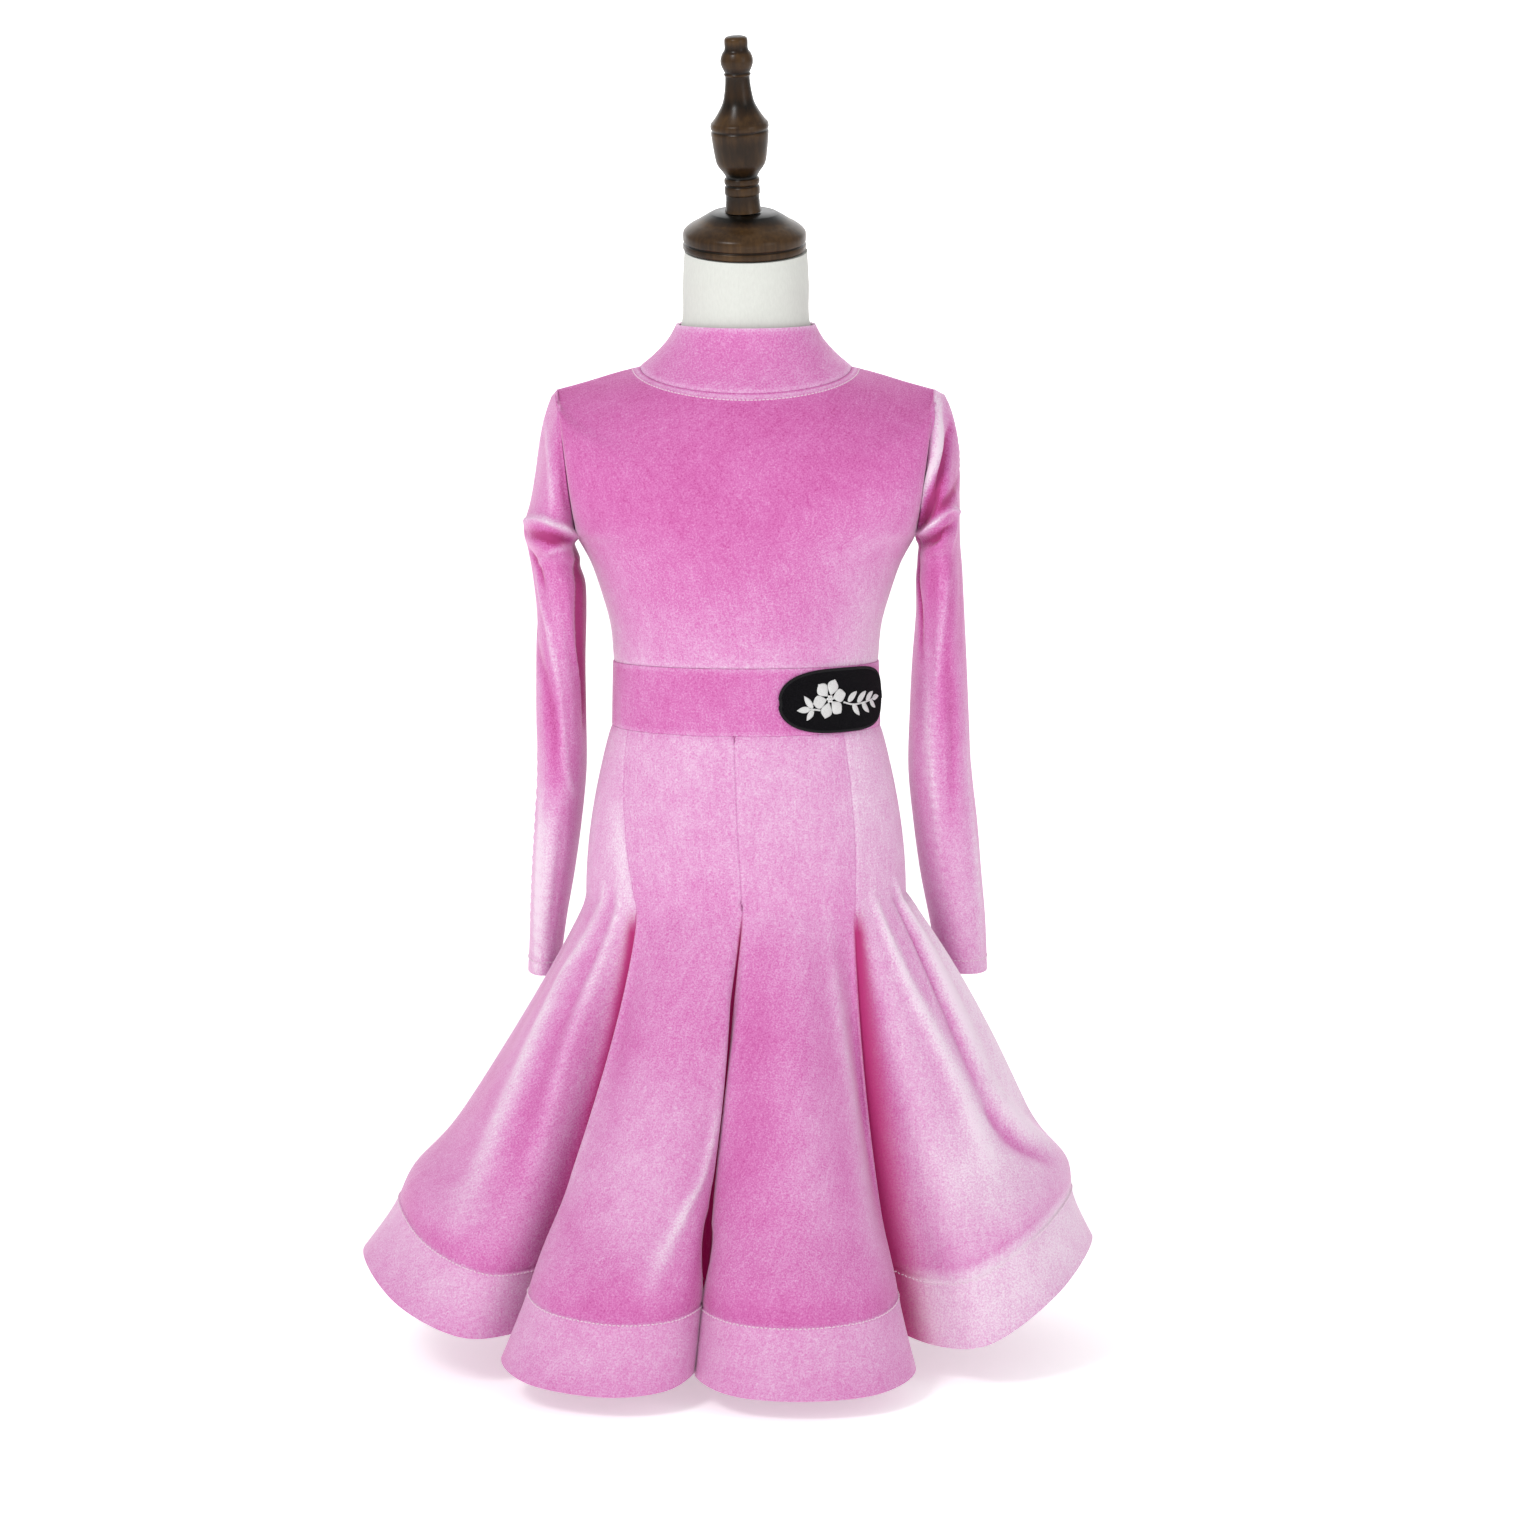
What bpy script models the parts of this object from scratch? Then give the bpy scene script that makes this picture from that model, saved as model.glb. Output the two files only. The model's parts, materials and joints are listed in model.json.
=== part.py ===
"""Child's latin dance dress in stretch velvet, standing on a limbless table-top dress form.

Metres in the scene, +Z up, the wearer's front towards -Y. The origin is the middle of the
underside of the stand's base. Sizes below are in millimetres, outer faces of the cloth.
"""
import math
from collections import namedtuple

import bmesh
import bpy
import numpy as np
from mathutils import Matrix

MM = 0.001

# Driving sizes of the cloth
CLOTH = 2.0
BAND_CLOTH = 2.4
HEM_CLOTH = 2.6
SEAM_GAP = 0.3
ARMHOLE_GAP = 0.5
FORM_CLEARANCE = 3.6

# Driving sizes of the body of the dress
ARMHOLE_TOP_X = 134.0
ARMHOLE_LOW_X = 120.5
ARMHOLE_TOP_Z = 697.0
ARMHOLE_LOW_Z = 591.0
ARMHOLE_HALF_DEPTH = 40.0
COLLAR_TOP_Z = 743.5
COLLAR_TOP_HALF = 49.5
WAIST_TOP_Z = 502.0
WAIST_LOW_Z = 456.0
WAIST_HALF = 95.6
WAIST_FRONT = 76.5
WAIST_BACK = 70.0
BELT_PROUD = 0.8
FRONT_DIP = 1.5
BACK_DIP = 1.0
BELT_RISE_FRONT = 3.5
BELT_RISE_BACK = 2.0

# Driving sizes of the skirt
SKIRT_EASE = 0.8
HIP_Z = 333.0
HIP_HALF = 115.5
HIP_FRONT = 88.0
HIP_BACK = 86.0
HEM_START = 0.85
ROLL_FLARE = 0.775
ROLL_SPREAD = 0.075
HEM_KICK = 5.0

# Driving sizes of the form and its stand
NECK_RADIUS = 44.5
NECK_TOP_Z = 795.5
NECK_SLANT = math.radians(9.0)
FORM_LOW_Z = 352.0
FORM_LOW_ROUND = 14.0
HIP_CLEARANCE = 2.0
POLE_RADIUS = 12.5
BASE_RADIUS = 100.0
BASE_THICKNESS = 12.0
FINIAL_LEAN = math.radians(-2.4)

# Rows of the bodice from the neckline to the waist seam: the edge point on the shoulder,
# armhole or side seam, then the point on the centre front and the one on the centre back.
BodiceRow = namedtuple("BodiceRow", "edge_x edge_y edge_z front_y front_z back_y back_z")


def armhole_point(angle):
    """Point of the armhole oval: 0 at the shoulder, 180 degrees at the armpit."""
    turn = math.cos(math.radians(angle))
    half = (ARMHOLE_TOP_Z - ARMHOLE_LOW_Z) / 2
    x = (ARMHOLE_TOP_X + ARMHOLE_LOW_X) / 2 + (ARMHOLE_TOP_X - ARMHOLE_LOW_X) / 2 * turn
    y = ARMHOLE_HALF_DEPTH * math.sin(math.radians(angle))
    return x, y, ARMHOLE_LOW_Z + half + half * turn


def armhole_row(angle, front_y, front_z, back_y, back_z):
    x, y, z = armhole_point(angle)
    return BodiceRow(x, y, z, front_y, front_z, back_y, back_z)


BODICE_ROWS = [
    BodiceRow(75.5, 0.0, 713.5, -61.0, 699.0, 55.0, 706.0),
    BodiceRow(93.5, 0.0, 708.8, -68.0, 686.0, 61.0, 694.0),
    BodiceRow(114.5, 0.0, 702.4, -73.5, 672.0, 66.0, 680.0),
    armhole_row(0, -77.5, 658.0, 70.0, 664.0),
    armhole_row(35, -79.5, 645.0, 72.5, 649.0),
    armhole_row(70, -80.5, 631.0, 73.5, 634.0),
    armhole_row(110, -81.0, 616.0, 73.0, 618.0),
    armhole_row(148, -80.5, 602.0, 72.5, 603.0),
    armhole_row(180, -80.0, 589.0, 72.0, 590.0),
    BodiceRow(111.0, 0.0, 573.0, -79.5, 574.0, 71.5, 574.0),
    BodiceRow(103.4, 0.0, 551.0, -78.5, 552.0, 70.5, 552.0),
    BodiceRow(97.2, 0.0, 528.0, -77.5, 530.0, 69.8, 530.0),
    BodiceRow(WAIST_HALF - BELT_PROUD, 0.0, WAIST_TOP_Z + SEAM_GAP,
              -WAIST_FRONT + BELT_PROUD, WAIST_TOP_Z + BELT_RISE_FRONT + SEAM_GAP,
              WAIST_BACK - BELT_PROUD, WAIST_TOP_Z + BELT_RISE_BACK + SEAM_GAP),
]

# How many of those rows lie on the shoulders
SHOULDER_ROWS = 5
SLEEVE_COLUMNS = 16

# How far the collar curves in between its top edge and its base, by share of its height
COLLAR_BOW = [(0.0, 0.0), (0.35, 3.2), (0.7, 2.8), (1.0, 0.0)]

# Rings of the sleeves from the armhole to the wrist: the point against the body, the outer
# point, the middle and the half of the front to back depth.
SleeveRow = namedtuple("SleeveRow", "inner_x inner_z outer_x outer_z middle_y half_depth")
SLEEVE_START = SleeveRow(ARMHOLE_LOW_X, ARMHOLE_LOW_Z, ARMHOLE_TOP_X, ARMHOLE_TOP_Z,
                         0.0, ARMHOLE_HALF_DEPTH)
LEFT_SLEEVE_ROWS = [
    SleeveRow(121.5, 588.5, 141.0, 675.0, 0.0, 42.0),
    SleeveRow(122.5, 585.5, 147.0, 646.0, 0.0, 43.0),
    SleeveRow(121.5, 582.0, 154.0, 617.0, 0.5, 43.0),
    SleeveRow(119.0, 576.0, 159.0, 597.0, 1.0, 44.0),
    SleeveRow(118.5, 569.0, 155.5, 582.0, 2.0, 37.5),
    SleeveRow(115.0, 557.0, 152.5, 563.0, 3.0, 39.5),
    SleeveRow(114.5, 536.0, 150.5, 536.0, 5.0, 38.5),
    SleeveRow(115.5, 500.0, 151.5, 500.0, 9.0, 38.0),
    SleeveRow(115.3, 460.0, 151.8, 460.0, 15.0, 37.0),
    SleeveRow(115.5, 420.0, 151.3, 420.0, 23.0, 35.5),
    SleeveRow(119.5, 380.0, 153.0, 380.0, 32.0, 34.0),
    SleeveRow(125.0, 342.0, 155.5, 342.0, 41.0, 32.5),
    SleeveRow(131.5, 305.0, 158.0, 305.0, 52.0, 31.0),
    SleeveRow(137.0, 265.0, 160.5, 265.0, 64.0, 30.0),
]
RIGHT_SLEEVE_ROWS = [
    SleeveRow(121.8, 588.5, 142.0, 676.0, 0.0, 42.0),
    SleeveRow(123.0, 586.0, 149.0, 648.0, 0.0, 43.0),
    SleeveRow(123.5, 583.0, 152.6, 620.0, 0.5, 43.0),
    SleeveRow(123.0, 578.0, 153.0, 601.0, 1.0, 44.0),
    SleeveRow(122.6, 571.0, 153.6, 585.0, 2.0, 38.0),
    SleeveRow(121.8, 559.0, 155.5, 563.0, 3.0, 39.0),
    SleeveRow(122.0, 536.0, 157.0, 536.0, 5.0, 38.5),
    SleeveRow(119.5, 500.0, 159.0, 500.0, 9.0, 38.0),
    SleeveRow(118.0, 460.0, 161.0, 460.0, 15.0, 37.0),
    SleeveRow(117.5, 420.0, 163.3, 420.0, 23.0, 35.5),
    SleeveRow(121.5, 380.0, 168.0, 380.0, 32.0, 34.0),
    SleeveRow(126.8, 342.0, 171.5, 342.0, 41.0, 32.5),
    SleeveRow(134.0, 305.0, 175.0, 305.0, 50.0, 31.0),
    SleeveRow(141.0, 268.0, 177.0, 266.0, 60.0, 30.0),
]

# Seams of the six gores round the body, in degrees from the centre front towards +X, at the
# waist and at the hip, and the place on the hem where each seam lies at the bottom of its valley.
Seam = namedtuple("Seam", "name waist_angle hip_angle hem_x hem_y hem_z ease")
SEAMS = [
    Seam("front_left", -61.0, -42.5, -113.0, -96.0, 44.0, 1.5),
    Seam("front", -5.0, -1.2, -37.0, -98.0, 30.0, 1.1),
    Seam("front_right", 46.0, 42.5, 88.0, -98.0, 42.0, 1.8),
    Seam("back_right", 122.0, 132.0, 100.0, 100.0, 44.0, 1.5),
    Seam("back", 180.0, 180.0, 6.0, 100.0, 32.0, 1.1),
    Seam("back_left", 238.0, 228.0, -104.0, 100.0, 44.0, 1.5),
]

# Fold lines of each gore between its two seams: the share of the gore's width where the line
# leaves the hip, the point it reaches on the hem, and how late it swings out.
Fold = namedtuple("Fold", "share hem_x hem_y hem_z ease")
GORE_FOLDS = {
    "skirt_front_left": [
        Fold(0.03, -152.0, -124.0, 36.0, 1.30),
        Fold(0.10, -172.0, -157.0, 28.0, 1.35),
        Fold(0.27, -152.0, -200.0, 21.0, 1.20),
        Fold(0.50, -100.0, -223.0, 17.5, 1.05),
        Fold(0.74, -57.0, -213.0, 18.5, 1.05),
        Fold(0.92, -38.0, -180.0, 23.0, 1.00),
        Fold(0.98, -42.0, -135.0, 26.0, 1.00),
    ],
    "skirt_front_right": [
        Fold(0.02, -31.0, -135.0, 25.0, 1.00),
        Fold(0.08, -33.0, -182.0, 20.0, 1.00),
        Fold(0.26, -9.0, -218.0, 17.0, 1.05),
        Fold(0.50, 40.0, -229.0, 16.0, 1.05),
        Fold(0.73, 92.0, -211.0, 16.5, 1.40),
        Fold(0.90, 119.0, -166.0, 20.0, 1.95),
        Fold(0.97, 110.0, -126.0, 30.0, 1.65),
    ],
    "skirt_side_right": [
        Fold(0.05, 134.0, -126.0, 29.0, 1.15),
        Fold(0.16, 174.0, -147.0, 36.0, 1.05),
        Fold(0.32, 221.0, -114.0, 63.0, 1.00),
        Fold(0.50, 250.0, -34.0, 82.0, 0.92),
        Fold(0.68, 243.0, 54.0, 70.0, 0.92),
        Fold(0.86, 190.0, 122.0, 50.0, 1.15),
        Fold(0.96, 130.0, 122.0, 44.0, 1.15),
    ],
    "skirt_back_right": [
        Fold(0.03, 134.0, 150.0, 38.0, 1.25),
        Fold(0.10, 142.0, 190.0, 28.0, 1.35),
        Fold(0.27, 106.0, 220.0, 20.0, 1.15),
        Fold(0.50, 62.0, 227.0, 17.0, 1.05),
        Fold(0.74, 26.0, 212.0, 20.0, 1.05),
        Fold(0.92, 8.0, 178.0, 24.0, 1.00),
        Fold(0.98, 9.0, 136.0, 28.0, 1.00),
    ],
    "skirt_back_left": [
        Fold(0.02, 1.0, 136.0, 28.0, 1.00),
        Fold(0.08, 0.0, 182.0, 22.0, 1.00),
        Fold(0.26, -22.0, 216.0, 18.0, 1.05),
        Fold(0.50, -70.0, 226.0, 16.0, 1.05),
        Fold(0.73, -118.0, 212.0, 20.0, 1.25),
        Fold(0.90, -142.0, 178.0, 30.0, 1.45),
        Fold(0.97, -130.0, 140.0, 38.0, 1.30),
    ],
    "skirt_side_left": [
        Fold(0.04, -136.0, 122.0, 45.0, 1.15),
        Fold(0.14, -196.0, 124.0, 52.0, 1.15),
        Fold(0.32, -258.0, 58.0, 66.0, 1.15),
        Fold(0.50, -277.0, -36.0, 76.0, 1.20),
        Fold(0.68, -248.0, -114.0, 56.0, 1.10),
        Fold(0.84, -198.0, -144.0, 39.0, 1.05),
        Fold(0.95, -150.0, -113.0, 38.0, 1.15),
    ],
}

# How far each gore rolls out above its stiff hem band
HEM_ROLL = {
    "skirt_front_left": 5.0,
    "skirt_front_right": 5.0,
    "skirt_side_right": 10.0,
    "skirt_back_right": 6.0,
    "skirt_back_left": 6.0,
    "skirt_side_left": 8.0,
}

# Levels of the skirt: shares of the way from the waist seam to the hip, then from hip to hem.
HIP_LEVELS = [0.0, 0.3, 0.62, 1.0]
FLARE_LEVELS = [0.11, 0.24, 0.38, 0.52, 0.65, 0.75, 0.815, HEM_START, 0.875, 0.935, 1.0]
FOLD_STEPS = 2

# Turned profile of the neck cap and of the finial: radius and height.
CAP_PROFILE = [(42.5, 796.0), (43.8, 797.5), (43.8, 800.5), (42.8, 801.8), (43.8, 803.5),
               (43.8, 808.5), (42.0, 811.5), (38.0, 814.5), (33.5, 817.0), (28.0, 820.5),
               (23.5, 823.0)]
FINIAL_PROFILE = [(13.0, 0.4), (12.4, 4.0), (11.9, 11.9), (12.5, 13.5), (12.5, 18.0),
                  (11.5, 19.5), (12.5, 21.0), (12.5, 24.0), (11.3, 25.5), (13.1, 28.9),
                  (15.5, 32.0), (17.6, 36.0), (18.9, 43.0), (19.8, 50.0), (20.5, 57.0),
                  (19.9, 59.0), (20.7, 61.0), (20.3, 64.0), (18.6, 66.0), (15.2, 71.0),
                  (11.5, 78.0), (9.9, 85.0), (9.0, 92.0), (8.8, 97.0), (9.6, 98.5),
                  (8.9, 100.0), (9.9, 102.0), (11.4, 106.0), (11.5, 109.5), (10.2, 113.5),
                  (8.4, 116.5), (8.3, 123.0), (6.8, 125.0), (3.5, 125.8)]
CAP_TOP_Z = 823.0
CAP_X = -0.9
FINIAL_X = -1.8
FINIAL_GAP = 0.5

# Belt patch: a plain rounded badge on the belt, right of the centre front.
PATCH_FROM_ANGLE = 14.0
PATCH_TO_ANGLE = 81.0
PATCH_HALF_HEIGHT = 22.0
PATCH_THICKNESS = 1.8

# Zip slider and its pull tab at the top of the centre back
ZIP_Y = 48.75
ZIP_Z = 731.0
ZIP_LEAN = math.radians(8.0)
SLIDER_WIDTH = 9.0
SLIDER_LENGTH = 12.0
SLIDER_PLATE = 1.2
LUG_THICKNESS = 1.2
BARREL_RADIUS = 1.3
BARREL_HEIGHT = 3.0
BARREL_HALF = 1.9
TAB_LENGTH = 20.0
TAB_THICKNESS = 1.2


def clear_scene():
    for item in list(bpy.data.objects):
        bpy.data.objects.remove(item, do_unlink=True)


def material(name, colour, roughness, metallic=0.0):
    """A Principled material, made once for each name."""
    made = bpy.data.materials.get(name)
    if made is None:
        made = bpy.data.materials.new(name)
        made.use_nodes = True
        shader = made.node_tree.nodes["Principled BSDF"]
        shader.inputs["Base Color"].default_value = (*colour, 1.0)
        shader.inputs["Roughness"].default_value = roughness
        shader.inputs["Metallic"].default_value = metallic
    return made


def velvet():
    return material("pink_velvet", (0.70, 0.20, 0.50), 0.75)


def new_object(name, points, faces, finish):
    """An object from points in millimetres and faces, smooth shaded."""
    mesh = bpy.data.meshes.new(name)
    mesh.from_pydata([tuple(float(value) * MM for value in point) for point in points], [], faces)
    body = bmesh.new()
    body.from_mesh(mesh)
    bmesh.ops.recalc_face_normals(body, faces=body.faces)
    if body.calc_volume(signed=True) < 0:
        bmesh.ops.reverse_faces(body, faces=body.faces)
    body.to_mesh(mesh)
    body.free()
    mesh.shade_smooth()
    mesh.set_sharp_from_angle(angle=math.radians(40))
    made = bpy.data.objects.new(name, mesh)
    made.data.materials.append(finish)
    bpy.context.collection.objects.link(made)
    return made


def grid_normals(grid, ring):
    """Outward normals of a grid of points: rows run down, columns run towards +X in front."""
    down = np.gradient(grid, axis=0, edge_order=2)
    if ring:
        across = (np.roll(grid, -1, axis=1) - np.roll(grid, 1, axis=1)) / 2
    else:
        across = np.gradient(grid, axis=1, edge_order=2)
    normals = np.cross(down, across)
    return normals / np.linalg.norm(normals, axis=2, keepdims=True)


def cloth_wall(name, grid, thickness, finish, ring=False,
               square_ends=(None, None), square_rows=(None, None)):
    """A cloth wall: the grid is its outer face, the inner face lies a thickness further in.

    square_ends names the axis across the seam at the first and the last column, where the
    wall's edge is cut square to it, and square_rows does so for the first and the last row.
    """
    rows, columns = grid.shape[:2]
    depth = np.asarray(thickness, dtype=float)
    if depth.ndim == 1:
        depth = depth[:, None, None]
    normals = grid_normals(grid, ring)
    for column, axis in zip((0, -1), square_ends):
        if axis is not None:
            normals[:, column, axis] = 0.0
    for row, axis in zip((0, -1), square_rows):
        if axis is not None:
            normals[row, :, axis] = 0.0
            normals[row] /= np.linalg.norm(normals[row], axis=1, keepdims=True)
    inner = grid - normals * depth
    points = np.concatenate([grid.reshape(-1, 3), inner.reshape(-1, 3)])
    shift = rows * columns
    faces = []
    last = columns if ring else columns - 1
    for row in range(rows - 1):
        for column in range(last):
            following = (column + 1) % columns
            a = row * columns + column
            b = row * columns + following
            c = (row + 1) * columns + following
            d = (row + 1) * columns + column
            faces.append((a, d, c, b))
            faces.append((a + shift, b + shift, c + shift, d + shift))
    for column in range(last):
        following = (column + 1) % columns
        low = (rows - 1) * columns
        faces.append((column, following, following + shift, column + shift))
        faces.append((low + column, low + column + shift, low + following + shift, low + following))
    if not ring:
        for row in range(rows - 1):
            first, second = row * columns, (row + 1) * columns
            faces.append((first, first + shift, second + shift, second))
            first, second = first + columns - 1, second + columns - 1
            faces.append((first, second, second + shift, first + shift))
    return new_object(name, points, faces, finish)


def turned(name, profile, finish, segments=28):
    """A solid of revolution about Z from a profile of radius and height, closed by flat ends."""
    points = []
    faces = []
    for radius, height in profile:
        for step in range(segments):
            angle = 2 * math.pi * step / segments
            points.append((radius * math.cos(angle), radius * math.sin(angle), height))
    for row in range(len(profile) - 1):
        for step in range(segments):
            following = (step + 1) % segments
            faces.append((row * segments + step, row * segments + following,
                          (row + 1) * segments + following, (row + 1) * segments + step))
    faces.append(tuple(range(segments)))
    faces.append(tuple((len(profile) - 1) * segments + step for step in range(segments)))
    return new_object(name, points, faces, finish)


def half_row(edge, centre, shares):
    """Points of a half oval from one edge over the centre to the other, shares from -1 to 1."""
    edge_x, edge_y, edge_z = edge
    centre_y, centre_z = centre
    angles = np.asarray(shares) * math.pi / 2
    across = np.sin(angles)
    along = np.clip(np.cos(angles), 0.0, 1.0)
    return np.stack([edge_x * across, edge_y + (centre_y - edge_y) * along,
                     edge_z + (centre_z - edge_z) * along], axis=1)


def bodice_grid(front, shares):
    rows = []
    for row in BODICE_ROWS:
        side = -1 if front else 1
        centre = (row.front_y, row.front_z) if front else (row.back_y, row.back_z)
        rows.append(half_row((row.edge_x, side * row.edge_y, row.edge_z), centre, shares))
    return np.array(rows)


def build_bodice():
    gap = SEAM_GAP / 2
    front = bodice_grid(True, np.linspace(-1, 1, 17))
    front[:, (0, -1)] += np.array([0.0, -gap, 0.0])
    cloth_wall("bodice_front", front, CLOTH, velvet(), square_ends=(1, 1))
    for name, shares in (("bodice_back_left", np.linspace(-1, 0, 9)),
                         ("bodice_back_right", np.linspace(0, 1, 9))):
        side = -1 if name.endswith("left") else 1
        back = bodice_grid(False, shares)
        outer, middle = (0, -1) if side < 0 else (-1, 0)
        back[:, outer] += np.array([0.0, gap, 0.0])
        back[:, middle] += np.array([side * gap, 0.0, 0.0])
        ends = (0, 1) if side < 0 else (1, 0)
        cloth_wall(name, back[:, ::-1], CLOTH, velvet(), square_ends=ends)


def collar_grid(columns):
    """Mock neck band, open at the centre back, flaring to the neckline."""
    base = BODICE_ROWS[0]
    angles = np.linspace(-179.6, 179.6, columns)
    rows = []
    for share, bow in COLLAR_BOW:
        row = []
        for angle in angles:
            turn = math.radians(angle)
            front = math.cos(turn)
            base_y = base.front_y if front > 0 else -base.back_y
            base_z = base.front_z if front > 0 else base.back_z
            low = np.array([base.edge_x * math.sin(turn), base_y * front,
                            base.edge_z + (base_z - base.edge_z) * abs(front) + SEAM_GAP])
            top = np.array([COLLAR_TOP_HALF * math.sin(turn), -COLLAR_TOP_HALF * 0.97 * front,
                            COLLAR_TOP_Z])
            point = top + (low - top) * share
            outward = np.array([math.sin(turn), -front, 0.0])
            row.append(point - outward * bow)
        rows.append(row)
    return np.array(rows)


def build_collar():
    cloth_wall("collar", collar_grid(33), CLOTH, velvet(), square_rows=(None, 2))


def sleeve_grid(rows, side, columns):
    """Rings of a sleeve; side is -1 on the viewer's left."""
    start = SLEEVE_START._replace(inner_x=SLEEVE_START.inner_x + ARMHOLE_GAP,
                                  outer_x=SLEEVE_START.outer_x + ARMHOLE_GAP)
    grid = []
    for row in [start] + list(rows):
        middle = np.array([(row.inner_x + row.outer_x) / 2, row.middle_y,
                           (row.inner_z + row.outer_z) / 2])
        reach = np.array([(row.outer_x - row.inner_x) / 2, 0.0, (row.outer_z - row.inner_z) / 2])
        ring = []
        for step in range(columns):
            turn = 2 * math.pi * step / columns
            point = middle + reach * math.cos(turn)
            point = point + np.array([0.0, -row.half_depth * math.sin(turn), 0.0])
            ring.append(point * np.array([side, 1.0, 1.0]))
        grid.append(ring)
    grid = np.array(grid)
    return grid if side < 0 else grid[:, ::-1]


def build_sleeves():
    for name, rows, side in (("sleeve_left", LEFT_SLEEVE_ROWS, -1),
                             ("sleeve_right", RIGHT_SLEEVE_ROWS, 1)):
        grid = sleeve_grid(rows, side, SLEEVE_COLUMNS)
        cloth_wall(name, grid, CLOTH, velvet(), ring=True, square_rows=(0, None))


def belt_point(angle, share, proud=0.0):
    """Point of the belt's outer face: share 0 at its top edge, 1 at its lower edge."""
    turn = math.radians(angle)
    front = math.cos(turn)
    depth = WAIST_FRONT if front > 0 else WAIST_BACK
    rise = BELT_RISE_FRONT if front > 0 else BELT_RISE_BACK
    dip = FRONT_DIP if front > 0 else BACK_DIP
    top = WAIST_TOP_Z + rise * abs(front)
    low = WAIST_LOW_Z + SEAM_GAP + dip * abs(front)
    swell = SKIRT_EASE * share + proud
    return np.array([(WAIST_HALF + swell) * math.sin(turn), -(depth + swell) * front,
                     top + (low - top) * share])


def build_belt():
    for name, first, last in (("waistband_front", -89.9, 89.9), ("waistband_back", 90.1, 269.9)):
        angles = np.linspace(first, last, 17)
        grid = [[belt_point(angle, share) for angle in angles] for share in (0.0, 0.5, 1.0)]
        cloth_wall(name, np.array(grid), BAND_CLOTH, velvet(), square_ends=(1, 1))


def build_patch():
    """Rounded badge bent round the belt."""
    middle = (PATCH_FROM_ANGLE + PATCH_TO_ANGLE) / 2
    reach = (PATCH_TO_ANGLE - PATCH_FROM_ANGLE) / 2
    grid = []
    for across in np.linspace(-1, 1, 5):
        row = []
        for along in np.linspace(-1, 1, 13):
            edge = (1 - 0.995 * abs(along) ** 3.2) ** 0.42
            share = 0.5 + across * edge * PATCH_HALF_HEIGHT / (WAIST_TOP_Z - WAIST_LOW_Z)
            row.append(belt_point(middle + along * reach, share, SEAM_GAP + PATCH_THICKNESS))
        grid.append(row)
    finish = material("black_felt", (0.012, 0.012, 0.014), 0.9)
    cloth_wall("belt_patch", np.array(grid), PATCH_THICKNESS, finish)


def waist_to_hip_point(share, angle_at_waist, angle_at_hip):
    """Point of the fitted upper skirt."""
    turn = math.radians(angle_at_waist + (angle_at_hip - angle_at_waist) * share)
    front = math.cos(turn)
    round_out = math.sin(share * math.pi / 2) ** 0.9
    waist_half = WAIST_HALF + SKIRT_EASE
    half = waist_half + (HIP_HALF - waist_half) * round_out
    waist_depth, hip_depth = (WAIST_FRONT, HIP_FRONT) if front > 0 else (WAIST_BACK, HIP_BACK)
    waist_depth += SKIRT_EASE
    depth = waist_depth + (hip_depth - waist_depth) * round_out
    waist_z = WAIST_LOW_Z + (FRONT_DIP if front > 0 else BACK_DIP) * abs(front)
    return np.array([half * math.sin(turn), -depth * front, waist_z + (HIP_Z - waist_z) * share])


def smooth_row(points, steps):
    """Catmull-Rom curve through the points, with a number of steps in each stretch."""
    points = np.asarray(points)
    ends = [2 * points[0] - points[1], *points, 2 * points[-1] - points[-2]]
    row = []
    for index in range(1, len(ends) - 2):
        p0, p1, p2, p3 = ends[index - 1:index + 3]
        for step in range(steps):
            u = step / steps
            row.append(0.5 * (2 * p1 + (p2 - p0) * u + (2 * p0 - 5 * p1 + 4 * p2 - p3) * u ** 2
                              + (3 * p1 - p0 - 3 * p2 + p3) * u ** 3))
    row.append(points[-1])
    return np.array(row)


def gore_lines(name, first, second):
    """Fold lines of a gore with its two seams: waist angle, hip angle, hem point and ease."""
    waist_span = (second.waist_angle - first.waist_angle) % 360
    hip_span = (second.hip_angle - first.hip_angle) % 360
    lines = [(first.waist_angle, first.hip_angle, (first.hem_x, first.hem_y, first.hem_z),
              first.ease)]
    for fold in GORE_FOLDS[name]:
        lines.append((first.waist_angle + waist_span * fold.share,
                      first.hip_angle + hip_span * fold.share,
                      (fold.hem_x, fold.hem_y, fold.hem_z), fold.ease))
    lines.append((first.waist_angle + waist_span, first.hip_angle + hip_span,
                  (second.hem_x, second.hem_y, second.hem_z), second.ease))
    return lines


def hem_profile(name, flare):
    """How far the cloth stands out near the hem: a roll above the band, then the stiff band."""
    roll = HEM_ROLL[name] * math.exp(-((flare - ROLL_FLARE) / ROLL_SPREAD) ** 2)
    band = max(0.0, (flare - HEM_START) / (1 - HEM_START))
    return roll + HEM_KICK * (band ** 1.2 - band)


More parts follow.
